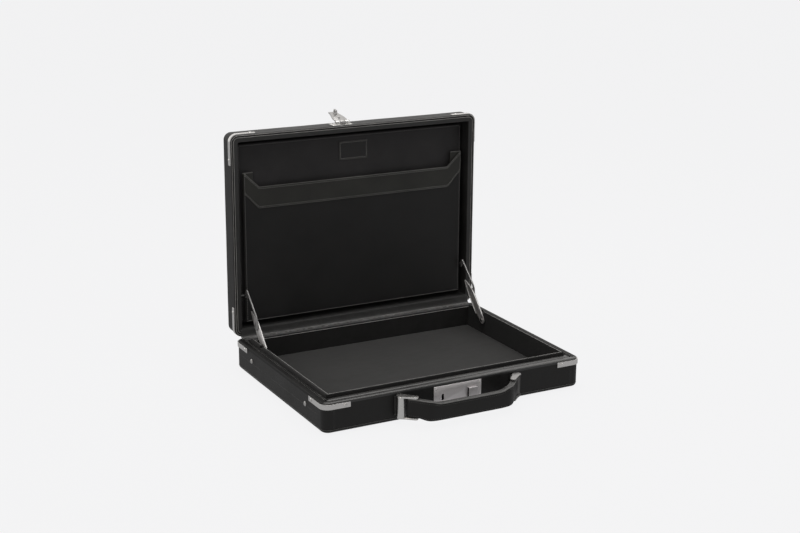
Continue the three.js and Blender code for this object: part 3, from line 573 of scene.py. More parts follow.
def boolean(me_a, me_b, op="DIFFERENCE"):
    """Exact boolean of two closed meshes in mm."""
    a = bpy.data.objects.new("ba", me_a)
    b = bpy.data.objects.new("bb", me_b)
    for o in (a, b):
        bpy.context.scene.collection.objects.link(o)
    md = a.modifiers.new("b", "BOOLEAN")
    md.operation = op
    md.solver = "EXACT"
    md.object = b
    dg = bpy.context.evaluated_depsgraph_get()
    me = bpy.data.meshes.new_from_object(a.evaluated_get(dg))
    bpy.data.objects.remove(a)
    bpy.data.objects.remove(b)
    return me


def refine(node, body, mat, width=0.25, seg=3, angle=28, name=None):
    """The CAD node's own shape with its flat facets merged and its edges rounded."""
    src = NODES[node].data
    bm = bmesh.new()
    bm.from_mesh(src)
    bmesh.ops.remove_doubles(bm, verts=bm.verts, dist=2e-6)
    bmesh.ops.dissolve_limit(bm, angle_limit=math.radians(1.5), verts=bm.verts, edges=bm.edges)
    me = bpy.data.meshes.new(name or node + "_v")
    bm.to_mesh(me)
    bm.free()
    o = finish_mesh(name or node + "_v", me, body, mat, (node,), recalc=False)
    md = o.modifiers.new("bevel", "BEVEL")
    md.limit_method = "ANGLE"
    md.angle_limit = math.radians(angle)
    md.width = width * MM
    md.segments = seg
    md.use_clamp_overlap = True
    md.harden_normals = False
    md.miter_outer = "MITER_ARC"
    apply_mods(o)
    o.data.polygons.foreach_set("use_smooth", [True] * len(o.data.polygons))
    o.data.set_sharp_from_angle(angle=math.radians(40))
    return o


def apply_mods(o):
    dg = bpy.context.evaluated_depsgraph_get()
    me = bpy.data.meshes.new_from_object(o.evaluated_get(dg))
    o.modifiers.clear()
    o.data = me


def tube(path, r, n=8, closed=False):
    """A round tube along a path in mm, capped flat at its ends unless closed. r may be a list."""
    P = [np.array(p, float) for p in path]
    m = len(P)
    rad = [r] * m if np.isscalar(r) else list(r)
    T = []
    for i in range(m):
        a = P[(i - 1) % m] if (closed or i) else P[i]
        b = P[(i + 1) % m] if (closed or i < m - 1) else P[i]
        t = b - a
        T.append(t / (np.linalg.norm(t) + 1e-12))
    up = np.array([0, 0, 1.0]) if abs(T[0][2]) < 0.9 else np.array([1.0, 0, 0])
    nrm = np.cross(T[0], up)
    nrm /= np.linalg.norm(nrm)
    loops = []
    for i in range(m):
        nrm = nrm - T[i] * nrm.dot(T[i])
        nrm /= np.linalg.norm(nrm)
        bi = np.cross(T[i], nrm)
        loops.append([P[i] + rad[i] * (math.cos(2 * math.pi * k / n) * nrm + math.sin(2 * math.pi * k / n) * bi)
                      for k in range(n)])
    return skin(loops, ring=closed)


def along(path, step, closed=False):
    """Points and directions at equal steps along a polyline."""
    P = [np.array(p, float) for p in path]
    if closed:
        P.append(P[0])
    seg = [np.linalg.norm(b - a) for a, b in zip(P, P[1:])]
    total = sum(seg)
    k = max(1, int(round(total / step)))
    out = []
    for i in range(k):
        s = (i + 0.5) * total / k
        j = 0
        while j < len(seg) - 1 and s > seg[j]:
            s -= seg[j]
            j += 1
        d = (P[j + 1] - P[j]) / (seg[j] + 1e-12)
        out.append((P[j] + d * s, d))
    return out


def stitches(name, paths, body, normal, mat="thread", pitch=3.2, length=2.3, r=0.28, lid=False, sink=0.35, seed=1):
    """Rows of saddle stitches: each is a short plump thread dipping into the leather at its ends."""
    rnd = random.Random(seed)
    V, F = [], []
    prof = [(-0.5, 0.0, -0.9), (-0.42, 0.62, -0.35), (-0.22, 0.95, 0.05), (0.0, 1.0, 0.12), (0.22, 0.95, 0.05),
            (0.42, 0.62, -0.35), (0.5, 0.0, -0.9)]
    for path, closed in paths:
        for p, d in along(path, pitch, closed):
            nn = np.array(normal(p) if callable(normal) else normal, float)
            nn /= np.linalg.norm(nn)
            s = np.cross(nn, d)
            d2 = d + s * (0.10 + rnd.uniform(-0.03, 0.03))
            L = length * rnd.uniform(0.95, 1.04)
            o0 = len(V)
            k = 6
            for t, rad, lift in prof:
                c = p + d2 * (t * L) + nn * (r * (lift + 1 - sink) - r * 0.5)
                if rad == 0:
                    V.append(c)
                else:
                    for q in range(k):
                        a = 2 * math.pi * q / k
                        V.append(c + rad * r * (math.cos(a) * s + math.sin(a) * nn))
            i0 = o0
            ring = [o0 + 1 + q for q in range(k)]
            F += [(i0, ring[(q + 1) % k], ring[q]) for q in range(k)]
            for t in range(4):
                nx = [v + k for v in ring]
                F += [(ring[q], ring[(q + 1) % k], nx[(q + 1) % k], nx[q]) for q in range(k)]
                ring = nx
            last = ring[-1] + 1
            V.append
            F += [(ring[q], ring[(q + 1) % k], last) for q in range(k)]
    return build(name, V, F, body, mat, lid=lid, sharp=80)


def sheet(us, vlo, vhi, vin, wf, thick, roundoff=0.45):
    """A closed thin piece over a grid. us are x positions, vlo(x) and vhi(x) its lower and upper edges,
    vin the row positions between 0 and 1, wf(x, v) the front surface's depth. Front edges are rounded over.
    Returns points as (x, v, depth)."""
    nu, nv = len(us), len(vin)
    V = np.zeros((2, nu, nv, 3))
    for i, x in enumerate(us):
        lo, hi = vlo(x), vhi(x)
        for j, t in enumerate(vin):
            v = lo + (hi - lo) * t
            dx = min(abs(x - us[0]), abs(us[-1] - x))
            dv = min(abs(v - lo), abs(hi - v))
            d = min(dx, dv)
            k = max(0.0, 1 - d / (thick * 0.9))
            drop = thick * roundoff * (1 - math.sqrt(max(0.0, 1 - k * k)))
            w = wf(x, v)
            V[0, i, j] = (x, v, w + drop)
            V[1, i, j] = (x, v, w + thick)
    idx = lambda s, i, j: s * nu * nv + i * nv + j
    F = []
    for i in range(nu - 1):
        for j in range(nv - 1):
            F.append((idx(0, i, j), idx(0, i + 1, j), idx(0, i + 1, j + 1), idx(0, i, j + 1)))
            F.append((idx(1, i, j), idx(1, i, j + 1), idx(1, i + 1, j + 1), idx(1, i + 1, j)))
    for i in range(nu - 1):
        F.append((idx(0, i, 0), idx(1, i, 0), idx(1, i + 1, 0), idx(0, i + 1, 0)))
        F.append((idx(0, i, nv - 1), idx(0, i + 1, nv - 1), idx(1, i + 1, nv - 1), idx(1, i, nv - 1)))
    for j in range(nv - 1):
        F.append((idx(0, 0, j), idx(0, 0, j + 1), idx(1, 0, j + 1), idx(1, 0, j)))
        F.append((idx(0, nu - 1, j), idx(1, nu - 1, j), idx(1, nu - 1, j + 1), idx(0, nu - 1, j + 1)))
    return V.reshape(-1, 3), F


def edged(a, b, n, e=(0.35, 0.9)):
    """n even positions from a to b with extra ones close to both ends."""
    mid = list(np.linspace(a, b, n))
    s = 1 if b > a else -1
    return sorted(set([round(float(x), 5) for x in mid] + [round(a + s * k, 5) for k in e] + [round(b - s * k, 5) for k in e]),
                  reverse=(s < 0))


# ------------------------------------------------------------------- base shell
def bead(o0, o1, zbase, h, n=9, power=2.4):
    """A rounded rim from offset o0 to o1, rising h above zbase."""
    mid, half = (o0 + o1) / 2, (o1 - o0) / 2
    out = []
    for i in range(n + 1):
        a = math.pi * i / n
        c, s = math.cos(a), math.sin(a)
        x = -math.copysign(abs(c) ** (2 / power), c)
        out.append((mid + half * x, zbase + h * abs(s) ** (2 / power)))
    return out


prof = [(7.0, 0.0), (4.6, 0.08), (2.9, 0.55), (1.5, 1.45), (0.6, 2.7), (0.12, 4.1), (0.0, 5.0), (0.02, 5.35), (0.4, 5.62),
        (0.4, 5.85), (0.02, 6.1), (0.0, 6.6), (0.0, 14), (0.0, 24.5), (0.0, 33), (0.0, 38.0)]
prof += bead(0.0, 9.6, 38.8, BASE_H - 38.8, 16, 3.6)
prof += [(9.6, 30), (9.6, 6.2)]
SLOT_X = -23.2
k_ = prof.index((0.0, 24.5))
prof[k_ - 1:k_ + 1] = [(0.0, z) for z in (12.0, 16.2, 17.3, 22.4, 27.7, 28.8)]
XH = sorted([x for x in XS if abs(x - SLOT_X) > 3] + [SLOT_X - 4.4, SLOT_X - 3.3, SLOT_X, SLOT_X + 3.3, SLOT_X + 4.4])
loops = [inset(o, z, xs=XH) for o, z in prof]
v, f = skin(loops)
v = wavy(v, 0.16, 34, 3.1, (1, 1, 0.35))
hole = (np.abs(v[:, 0] - SLOT_X) < 3.8) & (v[:, 1] < -D / 2 + 1.5) & (v[:, 2] > 16.8) & (v[:, 2] < 28.2)
v[hole, 1] = -D / 2 + 5.6
back = (v[:, 1] > D / 2 - 9.7) & (np.abs(v[:, 0]) < 194) & (v[:, 2] > 42.1)
v[back, 2] = 42.1
shell = build("base_shell_leather", v, f, "base", "case", ("base_shell",))


def second_material(o, mat, test):
    """Gives the faces whose middle (mm) passes the test another material."""
    o.data.materials.append(M[mat])
    k = len(o.data.materials) - 1
    for p in o.data.polygons:
        if test(p.center * 1000):
            p.material_index = k


second_material(shell, "rim", lambda c: c.z > 39.6)
# the side rails take the darker rim copy as painted shade
second_material(shell, "rim_side_shaded", lambda c: c.z > 39.6 and abs(c.x) > 190.3 and abs(c.y) < D / 2 - 6)

# turned seam round the foot of the walls, and the overlap seams beside the front corners
V, F = tube([tuple(p) for p in inset(0.12, 5.05)], 0.42, 6, closed=True)
build("base_foot_seam", V, F, "base", "foot_seam", (), sharp=80)
for sx, tag in ((-1, "left"), (1, "right")):
    for k, (x_, z0_, z1_) in enumerate(((W / 2 - 14.2, 6.2, 31.6), (W / 2 - 16.0, 6.2, 31.6))):
        V, F = tube([(sx * x_, -D / 2 + 0.1, z) for z in np.linspace(z0_, z1_, 12)], 0.2, 6)
        build(f"base_corner_seam_{tag}_{k}", V, F, "base", "seam", (), sharp=80)
    V, F = tube([(sx * (W / 2 - 0.08), y, 22.6) for y in np.linspace(-D / 2 + 13, D / 2 - 13, 60)], 0.17, 6)
    build(f"base_side_seam_{tag}", V, F, "base", "seam", (), sharp=80)

# inner rim bead
lo, hi = nb("base_frame")
FX, FY0, FY1 = 187.0, -D / 2 + 19.4, D / 2 - 15.8


def ring_loop(t, z):
    """Between the shell's inner face (t = 0) and the lining's outer face (t = 1)."""
    a0, a1 = 9.75, None
    x = (W / 2 - 9.75) * (1 - t) + FX * t
    y0 = (-D / 2 + 9.75) * (1 - t) + FY0 * t
    y1 = (D / 2 - 9.75) * (1 - t) + FY1 * t
    return rr(-x, x, y0, y1, 2.2, z, 8, XS, YS)


fl = [ring_loop(0, 8.0), ring_loop(0, 30.0)]
for i in range(13):
    a = math.pi * i / 12
    c, s = math.cos(a), math.sin(a)
    t = 0.5 - 0.5 * math.copysign(abs(c) ** (2 / 3.4), c)
    fl.append(ring_loop(t, 38.9 + 3.8 * abs(s) ** (2 / 3.4)))
fl += [ring_loop(1, 30.0), ring_loop(1, 8.0)]
v, f = skin(fl, ring=True)
v = wavy(v, 0.10, 26, 7.7, (1, 1, 0.5))
back = (v[:, 1] > D / 2 - 19) & (np.abs(v[:, 0]) < 194) & (v[:, 2] > 41.9)
v[back, 2] = 41.9
rim_o = build("base_rim_leather", v, f, "base", "rim", ("base_frame",))
# the side rails and the back of the bead take the darker rim copy as painted shade
second_material(rim_o, "rim_side_shaded", lambda c: abs(c.x) > 186.9 and abs(c.y) < D / 2 - 12 or c.y > D / 2 - 19)

# thin pale lines along the side rails: painted highlights on the groove edges
for sx, tag in ((-1, "left"), (1, "right")):
    for k, (x_, z_) in enumerate(((W / 2 - 1.5, 42.35), (W / 2 - 8.1, 42.55), (W / 2 - 10.6, 42.3))):
        V, F = tube([(sx * x_, y, z_) for y in np.linspace(-D / 2 + 14, D / 2 - 15, 60)], 0.26, 6)
        build(f"base_rail_line_{tag}_{k}", V, F, "base", "rail_line", (), sharp=80)

# lining with its tongue
lo, hi = nb("base_lining")
LXo, LY0o, LY1o, TT = hi[0] - 0.05, lo[1] + 0.05, hi[1] - 0.05, hi[2]
LXi, LY0i, LY1i = LXo - 4.2, LY0o + 3.0, LY1o - 1.5
NOTCH = (84.4, 93.2)
YT = sorted([y for y in YS if not 83 < y < 95 and y < 125] + [83.2, 84.3, 84.5, 88.8, 93.1, 93.3, 94.4, 125.8, 126.9])


def lin(b, z, r=2.0, g=0.0):
    x, y0, y1 = b
    return rr(-x + g, x - g, y0 + g, y1 - g, r, z, 6, XS, YT)


O, I = (LXo, LY0o, LY1o), (LXi, LY0i, LY1i)
stack = [lin(O, 6.4), lin(O, 41.0), lin(O, TT - 1.0), lin(O, TT - 0.4, g=0.25), lin(O, TT - 0.05, g=0.9)]
stack += [lin(I, TT - 0.05, g=-0.9), lin(I, TT - 0.4, g=-0.25), lin(I, TT - 1.0), lin(I, 41.0), lin(I, 20.0), lin(I, 6.4)]
v, f = skin(stack, ring=True)
v = wavy(v, 0.08, 30, 5.5, (1, 1, 0.3))
low = (v[:, 1] > 127.0) & (v[:, 2] > 41.7)
v[low, 2] = 41.7 + (v[low, 2] - 41.7) * 0.03
gap = (v[:, 1] > NOTCH[0]) & (v[:, 1] < NOTCH[1]) & (v[:, 2] > 43.0)
v[gap, 2] = 43.0 + (v[gap, 2] - 43.0) * 0.02
build("base_lining_suede", v, f, "base", "lining", ("base_lining",))

# thin pale line where the lining turns over its board: a painted highlight on that lit edge
def lining_edge(name, pts, r_=0.34):
    V, F = tube(pts, r_, 6)
    build(name, V, F, "base", "lining_edge", (), sharp=80)


xe, ze = LXi + 0.75, TT - 0.12
for sx, tag in ((-1, "left"), (1, "right")):
    lining_edge(f"lining_edge_{tag}_a", [(sx * xe, y, ze) for y in np.linspace(LY0i - 0.4, 83.6, 40)])
    lining_edge(f"lining_edge_{tag}_b", [(sx * xe, y, ze) for y in np.linspace(94.0, 125.6, 10)])
lining_edge("lining_edge_front", [(x, LY0i - 0.75, ze) for x in np.linspace(-xe, xe, 60)])
lining_edge("lining_edge_back", [(x, LY1i + 0.2, 41.95) for x in np.linspace(-xe, xe, 60)], 0.42)

# padded floor
lo, hi = nb("base_floor_pad")
nx, ny = 74, 54
xs = edged(lo[0], hi[0], nx, (0.5, 1.2, 2.2, 3.6))
ys = edged(lo[1], hi[1], ny, (0.5, 1.2, 2.2, 3.6))


def pad_z(x, y):
    d = min(x - lo[0], hi[0] - x, y - lo[1], hi[1] - y)
    k = max(0.0, 1 - d / 4.2)
    z = hi[2] - 2.6 * (1 - math.sqrt(max(0.0, 1 - k * k)))
    z += 0.25 * (1 - k) * noise.noise(Vector((x / 55, y / 55, 0.3)))
    z -= 0.25 * math.exp(-(d / 14) ** 2)
    return z


V, F = [], []
for s in (0, 1):
    for x in xs:
        for y in ys:
            V.append((x, y, pad_z(x, y) if s == 0 else lo[2] + 0.2))
NX, NY = len(xs), len(ys)
ix = lambda s, i, j: s * NX * NY + i * NY + j
for i in range(NX - 1):
    for j in range(NY - 1):
        F.append((ix(0, i, j), ix(0, i + 1, j), ix(0, i + 1, j + 1), ix(0, i, j + 1)))
        F.append((ix(1, i, j), ix(1, i, j + 1), ix(1, i + 1, j + 1), ix(1, i + 1, j)))
for i in range(NX - 1):
    for j in (0, NY - 1):
        F.append((ix(0, i, j), ix(0, i + 1, j), ix(1, i + 1, j), ix(1, i, j)))
for j in range(NY - 1):
    for i in (0, NX - 1):
        F.append((ix(0, i, j), ix(0, i, j + 1), ix(1, i, j + 1), ix(1, i, j)))
build("floor_pad_suede", V, F, "base", "pad", ("base_floor_pad",), sharp=60)

# -------------------------------------------------------------------- lid shell
R = RIM_Z
top = R + LID_H
prof = [(3.1, R + 26.4), (3.0, R + 6.0), (2.55, R + 2.0)]
prof += [(2.5, R + 1.0), (2.25, R + 0.35), (1.75, R + 0.03), (1.2, R), (0.7, R + 0.12), (0.25, R + 0.5), (0.03, R + 1.1), (0, R + 2.0)]
prof += [(0, R + 9), (0, R + 17), (0, top - 6.6), (0.02, top - 6.1), (0.4, top - 5.85), (0.4, top - 5.62), (0.02, top - 5.35),
         (0, top - 5.0), (0.12, top - 4.1), (0.6, top - 2.7), (1.5, top - 1.45), (2.9, top - 0.55), (4.6, top - 0.08), (7.0, top)]
v, f = skin([inset(o, z) for o, z in prof])
v = wavy(v, 0.16, 34, 9.3, (1, 1, 0.3))
build("lid_shell_leather", v, f, "lid", "case", ("lid_shell",), lid=True)

RIMW = 10.6
prof = [(3.5, R + 26.0), (3.4, R + 3.0), (3.0, R + 1.2), (3.05, R + 0.5), (3.4, R + 0.12), (3.9, R + 0.02), (5.0, R + 0.12), (7.0, R + 0.18),
        (9.0, R + 0.14), (9.9, R + 0.2), (10.35, R + 0.5), (10.58, R + 1.1), (RIMW, R + 2.0), (RIMW, R + 12), (RIMW, R + 26.0)]
v, f = skin([inset(o, z, 2.4) for o, z in prof], ring=True)
v = wavy(v, 0.10, 24, 12.1, (1, 1, 0.5))
build("lid_rim_leather", v, f, "lid", "lidrim", ("lid_frame",), lid=True)

# two pale lines round the lid's rim are painted highlights on its edges; the third uses the rim leather
for k, (o_, z_) in enumerate(((1.25, R + 0.02), (4.1, R + 0.06), (10.1, R + 0.4))):
    V, F = tube([tuple(p) for p in inset(o_, z_, 2.4)], 0.4 if k < 2 else 0.3, 6, closed=True)
    build(f"lid_rim_line_{k}", V, F, "lid", "lid_line" if k < 2 else "lidrim", (), lid=True, sharp=80)

# ------------------------------------------------------- organiser in the lid
PK_LO, PK_HI = nb("lid_pocket")
LN_LO, LN_HI = nb("lid_liner")
LIN_W = LN_LO[1] - LID_LO[1]  # liner's depth below the rim
PW = PK_LO[1] - LID_LO[1]  # pocket's depth below the rim
PXH = PK_HI[0]
FOOT, ENDS = PK_LO[2], PK_HI[2]
MID = ENDS - 22.2
B_END, B_MID = ENDS - 28.2, ENDS - 52.7
KX = 155.8  # where the mouth's slopes start


def poly_y(pts):
    xs_ = [p[0] for p in pts]
    ys_ = [p[1] for p in pts]
    return lambda x: float(np.interp(x, xs_, ys_))


mouth = poly_y([(-PXH, ENDS - 0.2), (-PXH + 0.8, ENDS - 0.4), (-KX, MID), (KX, MID), (PXH - 0.8, ENDS - 0.4), (PXH, ENDS - 0.2)])
band_lo = poly_y([(-PXH, B_END), (-KX - 1, B_MID), (KX + 1, B_MID), (PXH, B_END)])


def bow(x, z):
    """The panel's depth below the rim: it stands out a little at its foot and is drawn in at its sides."""
    t = (z - FOOT) / (ENDS - FOOT)
    s = 1 - (x / PXH) ** 2
    return PW + 1.0 - 0.35 * s * math.sin(math.pi * min(1, t * 1.15)) + 0.12 * noise.noise(Vector((x / 60, z / 45, 1.7)))


def lid_sheet(name, us, lo_, hi_, vin, wf, thick, mat, replaces=(), roundoff=0.45, sharp=40):
    """A sheet drawn as it stands with the lid open: x, height, and depth below the rim."""
    p, F = sheet(us, lo_, hi_, vin, wf, thick, roundoff)
    V = np.stack([p[:, 0], LID_LO[1] + p[:, 2], p[:, 1]], 1)
    return build(name, V, F, "lid", mat, replaces, sharp=sharp)


us = sorted(set(edged(-PXH, PXH, 49) + [-KX - 1, -KX, -KX + 1.5, KX - 1.5, KX, KX + 1]))
vin = sorted(set([0, 0.002, 0.006, 0.994, 0.998, 1.0] + [round(float(t), 4) for t in np.linspace(0, 1, 25)]))
lid_sheet("pocket_panel_leather", us, lambda x: FOOT, mouth, vin, bow, 1.4, "panel", ("lid_pocket",))
vinb = [0, 0.012, 0.03, 0.15, 0.3, 0.5, 0.7, 0.85, 0.97, 0.988, 1.0]
lid_sheet("pocket_band_leather", us, band_lo, lambda x: mouth(x) + 0.35, vinb, lambda x, z: bow(x, z) - 0.85, 0.95, "band",
          (), 0.6)


def lp(x, z, w):
    return (x, LID_LO[1] + w, z)


def edge_path(fn, dz, a=-PXH + 1, b=PXH - 1, k=90, dw=0.0, extra=()):
    xs_ = sorted(set(list(np.linspace(a, b, k)) + list(extra)))
    return [lp(x, fn(x) + dz, bow(x, fn(x) + dz) + dw) for x in xs_]


# rolled edges along the mouth and the band's lower edge
for nm, fn, dz, r_, dw in (("pocket_mouth_roll", mouth, 0.1, 0.75, -0.35), ("pocket_band_roll", band_lo, -0.1, 0.5, -0.55)):
    V, F = tube(edge_path(fn, dz, -PXH + 0.6, PXH - 0.6, 120, dw, (-KX, KX)), r_, 8)
    build(nm, V, F, "lid", "roll", ())
BACK = (0, -1, 0)
stitches("pocket_stitches", [
    (edge_path(band_lo, 2.0, dw=-0.85, extra=(-KX, KX)), False),
    (edge_path(mouth, -2.2, dw=-0.85, extra=(-KX, KX)), False),
    ([lp(-PXH + 1.6, z, bow(-PXH + 1.6, z)) for z in np.linspace(FOOT + 2, B_END - 2, 40)], False),
    ([lp(PXH - 1.6, z, bow(PXH - 1.6, z)) for z in np.linspace(FOOT + 2, B_END - 2, 40)], False),
], "lid", BACK, seed=4, pitch=3.6, length=2.5, r=0.42)
for s_, tag in ((-1, "left"), (1, "right")):
    stitches(f"pocket_end_stitches_{tag}", [([lp(s_ * (PXH - 1.3), z, bow(s_ * (PXH - 1.3), z) - 0.85) for z in np.linspace(B_END + 1, ENDS - 2, 12)], False)],
             "lid", BACK, seed=14, pitch=3.6, length=2.5, r=0.42)
    V, F = tube([lp(s_ * x, ENDS - 0.2, PW + 2.5 + 2.6 * ((180.4 - x) / 17) ** 1.5) for x in np.linspace(180.2, 164.0, 10)], 0.75, 8)
    build(f"pocket_gusset_top_{tag}", V, F, "lid", "roll", (), sharp=80)
V, F = tube([lp(x, FOOT + 0.3, bow(x, FOOT + 0.3) + 0.1) for x in np.linspace(-PXH + 0.6, PXH - 0.6, 60)], 0.6, 8)
build("pocket_foot_roll", V, F, "lid", "edge", (), sharp=80)

# gussets folded flat behind the panel's ends
for side, s in (("left", -1), ("right", 1)):
    outer, inner = 180.15, 163.4
    gx = [s * t for t in (edged(outer, inner, 9, (0.3, 0.8)))]
    gx = sorted(gx)

    def gw(x, z, s=s):
        t = (abs(x) - inner) / (outer - inner)  # 1 at the fold
        return PW + 2.6 + 2.6 * (1 - t) ** 1.5 + 0.2 * math.sin(z / 17) * (1 - t)

    lid_sheet(f"pocket_gusset_{side}_leather", gx, lambda x: FOOT + 1,
              lambda x, s=s: ENDS - 0.4 - 0.8 * (1 - (abs(x) - 163.4) / 16.75), [0, 0.003, 0.01] + list(np.linspace(0.05, 0.95, 16)) + [0.99, 0.997, 1],
              gw, 1.3, "band", ())
    # soft fold that joins the gusset to the panel
    V, F = tube([lp(s * (PXH - 0.4), z, PW + 2.2) for z in np.linspace(FOOT + 1, ENDS - 0.6, 40)], 0.85, 10)
    build(f"pocket_fold_{side}", V, F, "lid", "panel", ())

# liner board
LX = min(LN_HI[0], 184.8)
LZ0, LZ1 = max(LN_LO[2], 59.5), min(LN_HI[2], 326.0)
us = edged(-LX, LX, 40, (0.4, 1.0, 1.8))
vin = sorted(set([0, 0.0015, 0.004, 0.007, 0.993, 0.996, 0.9985, 1.0] + [round(float(t), 4) for t in np.linspace(0, 1, 28)]))
lid_sheet("liner_board_leather", us, lambda x: LZ0, lambda x: LZ1, vin,
          lambda x, z: LIN_W + 0.12 * noise.noise(Vector((x / 50, z / 50, 6.1))), 2.0, "liner", ("lid_liner",), 0.7)
stitches("liner_stitches", [
    ([lp(-LX + 2.4, z, LIN_W) for z in np.linspace(LZ0 + 3, LZ1 - 3, 30)], False),
    ([lp(LX - 2.4, z, LIN_W) for z in np.linspace(LZ0 + 3, LZ1 - 3, 30)], False),
    ([lp(x, LZ1 - 2.4, LIN_W) for x in np.linspace(-LX + 3, LX - 3, 30)], False),
], "lid", BACK, seed=5, pitch=3.6, length=2.5, r=0.36)

# patch, left blank
lo, hi = nb("lid_patch")
pw = lo[1] - LID_LO[1]
us = edged(lo[0], hi[0], 15, (0.3, 0.8))
lid_sheet("patch_leather", us, lambda x: lo[2], lambda x: hi[2], [0, 0.012, 0.03] + list(np.linspace(0.1, 0.9, 9)) + [0.97, 0.988, 1],
          lambda x, z: pw + 0.05 * noise.noise(Vector((x / 9, z / 9, 2.0))), 1.0, "patch", ("lid_patch",), 0.8)
q = 1.9
stitches("patch_stitches", [([lp(lo[0] + q, lo[2] + q, pw), lp(hi[0] - q, lo[2] + q, pw), lp(hi[0] - q, hi[2] - q, pw), lp(lo[0] + q, hi[2] - q, pw)], True)],
         "lid", BACK, seed=6, pitch=2.7, length=1.9, r=0.42, mat="thread_patch")
V, F = tube([lp(lo[0] + 0.3, lo[2] + 0.3, pw + 0.35), lp(hi[0] - 0.3, lo[2] + 0.3, pw + 0.35), lp(hi[0] - 0.3, hi[2] - 0.3, pw + 0.35),
             lp(lo[0] + 0.3, hi[2] - 0.3, pw + 0.35)], 0.42, 8, closed=True)
build("patch_edge", V, F, "lid", "roll", (), sharp=80)

# leather strip over the hinge: it hangs from the lid's rim, folds at its foot and lies on the base's rim
lo, hi = nb("hinge_flap")
FL = [(-0.25, 54.3), (-0.5, 53.9), (-0.62, 52.6), (-0.66, 50.4), (-0.75, 48.4), (-0.95, 46.6), (-1.3, 45.2), (-2.0, 44.05), (-3.1, 43.3),
      (-4.5, 42.95), (-5.6, 42.75), (-6.3, 42.5), (-6.6, 42.3)]
xs = edged(-192.4, 192.4, 250, (0.3, 0.8))


def crumple(x, t):
    """Fine uneven puckers, strongest in the middle of the strip."""
    w_ = math.sin(math.pi * min(1, max(0, t))) ** 0.7
    a_ = noise.noise(Vector((x / 2.6, t * 1.6, 4.0))) * 0.42 + noise.noise(Vector((x / 8.5, t * 2.3, 9.0))) * 0.55
    b_ = abs(noise.noise(Vector((x / 4.4 + t * 1.5, t * 3.0, 2.0)))) * -0.5
    return (a_ + b_) * w_


V, F = [], []
m_ = len(FL)
for side_ in (0, 1):
    for x in xs:
        for j, (dy_, z_) in enumerate(FL):
            t = j / (m_ - 1)
            ny_, nz_ = (-1, 0) if j < 6 else ((-0.75, 0.66) if j < 8 else (-0.2, 0.98))
            c_ = crumple(x, t) * 0.75 * (1.0 if j < 9 else 0.35)
            th = 0.0 if side_ == 0 else 0.5
            V.append((x, 150.35 + dy_ + ny_ * (c_ - th), z_ + nz_ * (c_ - th)))
nx_ = len(xs)
ix = lambda s_, i, j: s_ * nx_ * m_ + i * m_ + j
for i in range(nx_ - 1):
    for j in range(m_ - 1):
        F.append((ix(0, i, j), ix(0, i + 1, j), ix(0, i + 1, j + 1), ix(0, i, j + 1)))
        F.append((ix(1, i, j), ix(1, i, j + 1), ix(1, i + 1, j + 1), ix(1, i + 1, j)))
    for j in (0, m_ - 1):
        F.append((ix(0, i, j), ix(1, i, j), ix(1, i + 1, j), ix(0, i + 1, j)))
for i in (0, nx_ - 1):
    for j in range(m_ - 1):
        F.append((ix(0, i, j), ix(0, i, j + 1), ix(1, i, j + 1), ix(1, i, j)))


def fold(name, V, F, replaces=(), mat="flap"):
    """A piece of the strip, as one fixed mesh between the base's rim and the lid."""
    me = bpy.data.meshes.new(name)
    me.from_pydata((np.array(V) * MM).tolist(), [], [list(map(int, f_)) for f_ in F])
    bm = bmesh.new()
    bm.from_mesh(me)
    bmesh.ops.recalc_face_normals(bm, faces=bm.faces)
    bm.to_mesh(me)
    bm.free()
    me.polygons.foreach_set("use_smooth", [True] * len(me.polygons))
    me.set_sharp_from_angle(angle=math.radians(75))
    me.materials.append(M[mat])
    o = bpy.data.objects.new(name, me)
    bpy.context.scene.collection.objects.link(o)
    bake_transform(o)
    if replaces:
        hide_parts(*replaces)
    return o


fold("hinge_strip_leather", V, F, ("hinge_flap",))
# pale roll along the strip's fold: a painted highlight on its up-facing edge
V, F = tube([(x, 147.3 + 0.2 * noise.noise(Vector((x / 9, 0, 0))), 43.35 + 0.3 * noise.noise(Vector((x / 11, 3, 0)))) for x in np.linspace(-191.8, 191.8, 220)], 0.62, 8)
fold("hinge_strip_edge", V, F, (), "fold_edge_lit")

# ----------------------------------------------------------------------- grip
lo, hi = nb("handle_grip")
GRIP = [(-83.2, -162.7, -44.6, 9.9, 35.9, 4.0), (-72, -173.7, -44.6, 9.9, 35.9, 4.3), (-67.5, -178.2, -42, 8.6, 35.7, 4.4),
        (-63.2, -181.4, -28, 7.2, 35.2, 4.5), (-58.5, -182.9, -10, 6.6, 34.2, 4.5), (-51, -183.2, -1, 6.2, 31.4, 4.5),
        (-43, -183.2, 0, 6.0, 30.3, 4.5), (0, -183.2, 0, 6.0, 30.2, 4.5)]
st = GRIP + [(-x, y, -t, a, b, h) for x, y, t, a, b, h in GRIP[:-1][::-1]]
S = np.array(st)
cum = np.concatenate([[0], np.cumsum(np.hypot(np.diff(S[:, 0]), np.diff(S[:, 1])))])


def smooth_curve(t, col):
    """Monotone cubic through the stations."""
    y = S[:, col]
    d = np.diff(y) / np.diff(cum)
    m = np.zeros(len(y))
    m[0], m[-1] = d[0], d[-1]
    for i in range(1, len(y) - 1):
        m[i] = 0 if d[i - 1] * d[i] <= 0 else 2 * d[i - 1] * d[i] / (d[i - 1] + d[i])
    k = min(max(np.searchsorted(cum, t) - 1, 0), len(cum) - 2)
    h = cum[k + 1] - cum[k]
    s = (t - cum[k]) / h
    return ((1 + 2 * s) * (1 - s) ** 2 * y[k] + s * (1 - s) ** 2 * h * m[k] + s * s * (3 - 2 * s) * y[k + 1] + s * s * (s - 1) * h * m[k + 1])


def station(t):
    x, y, a, z0, z1, h = [smooth_curve(t, c) for c in range(6)]
    return x, y, math.radians(a), z0, z1, h


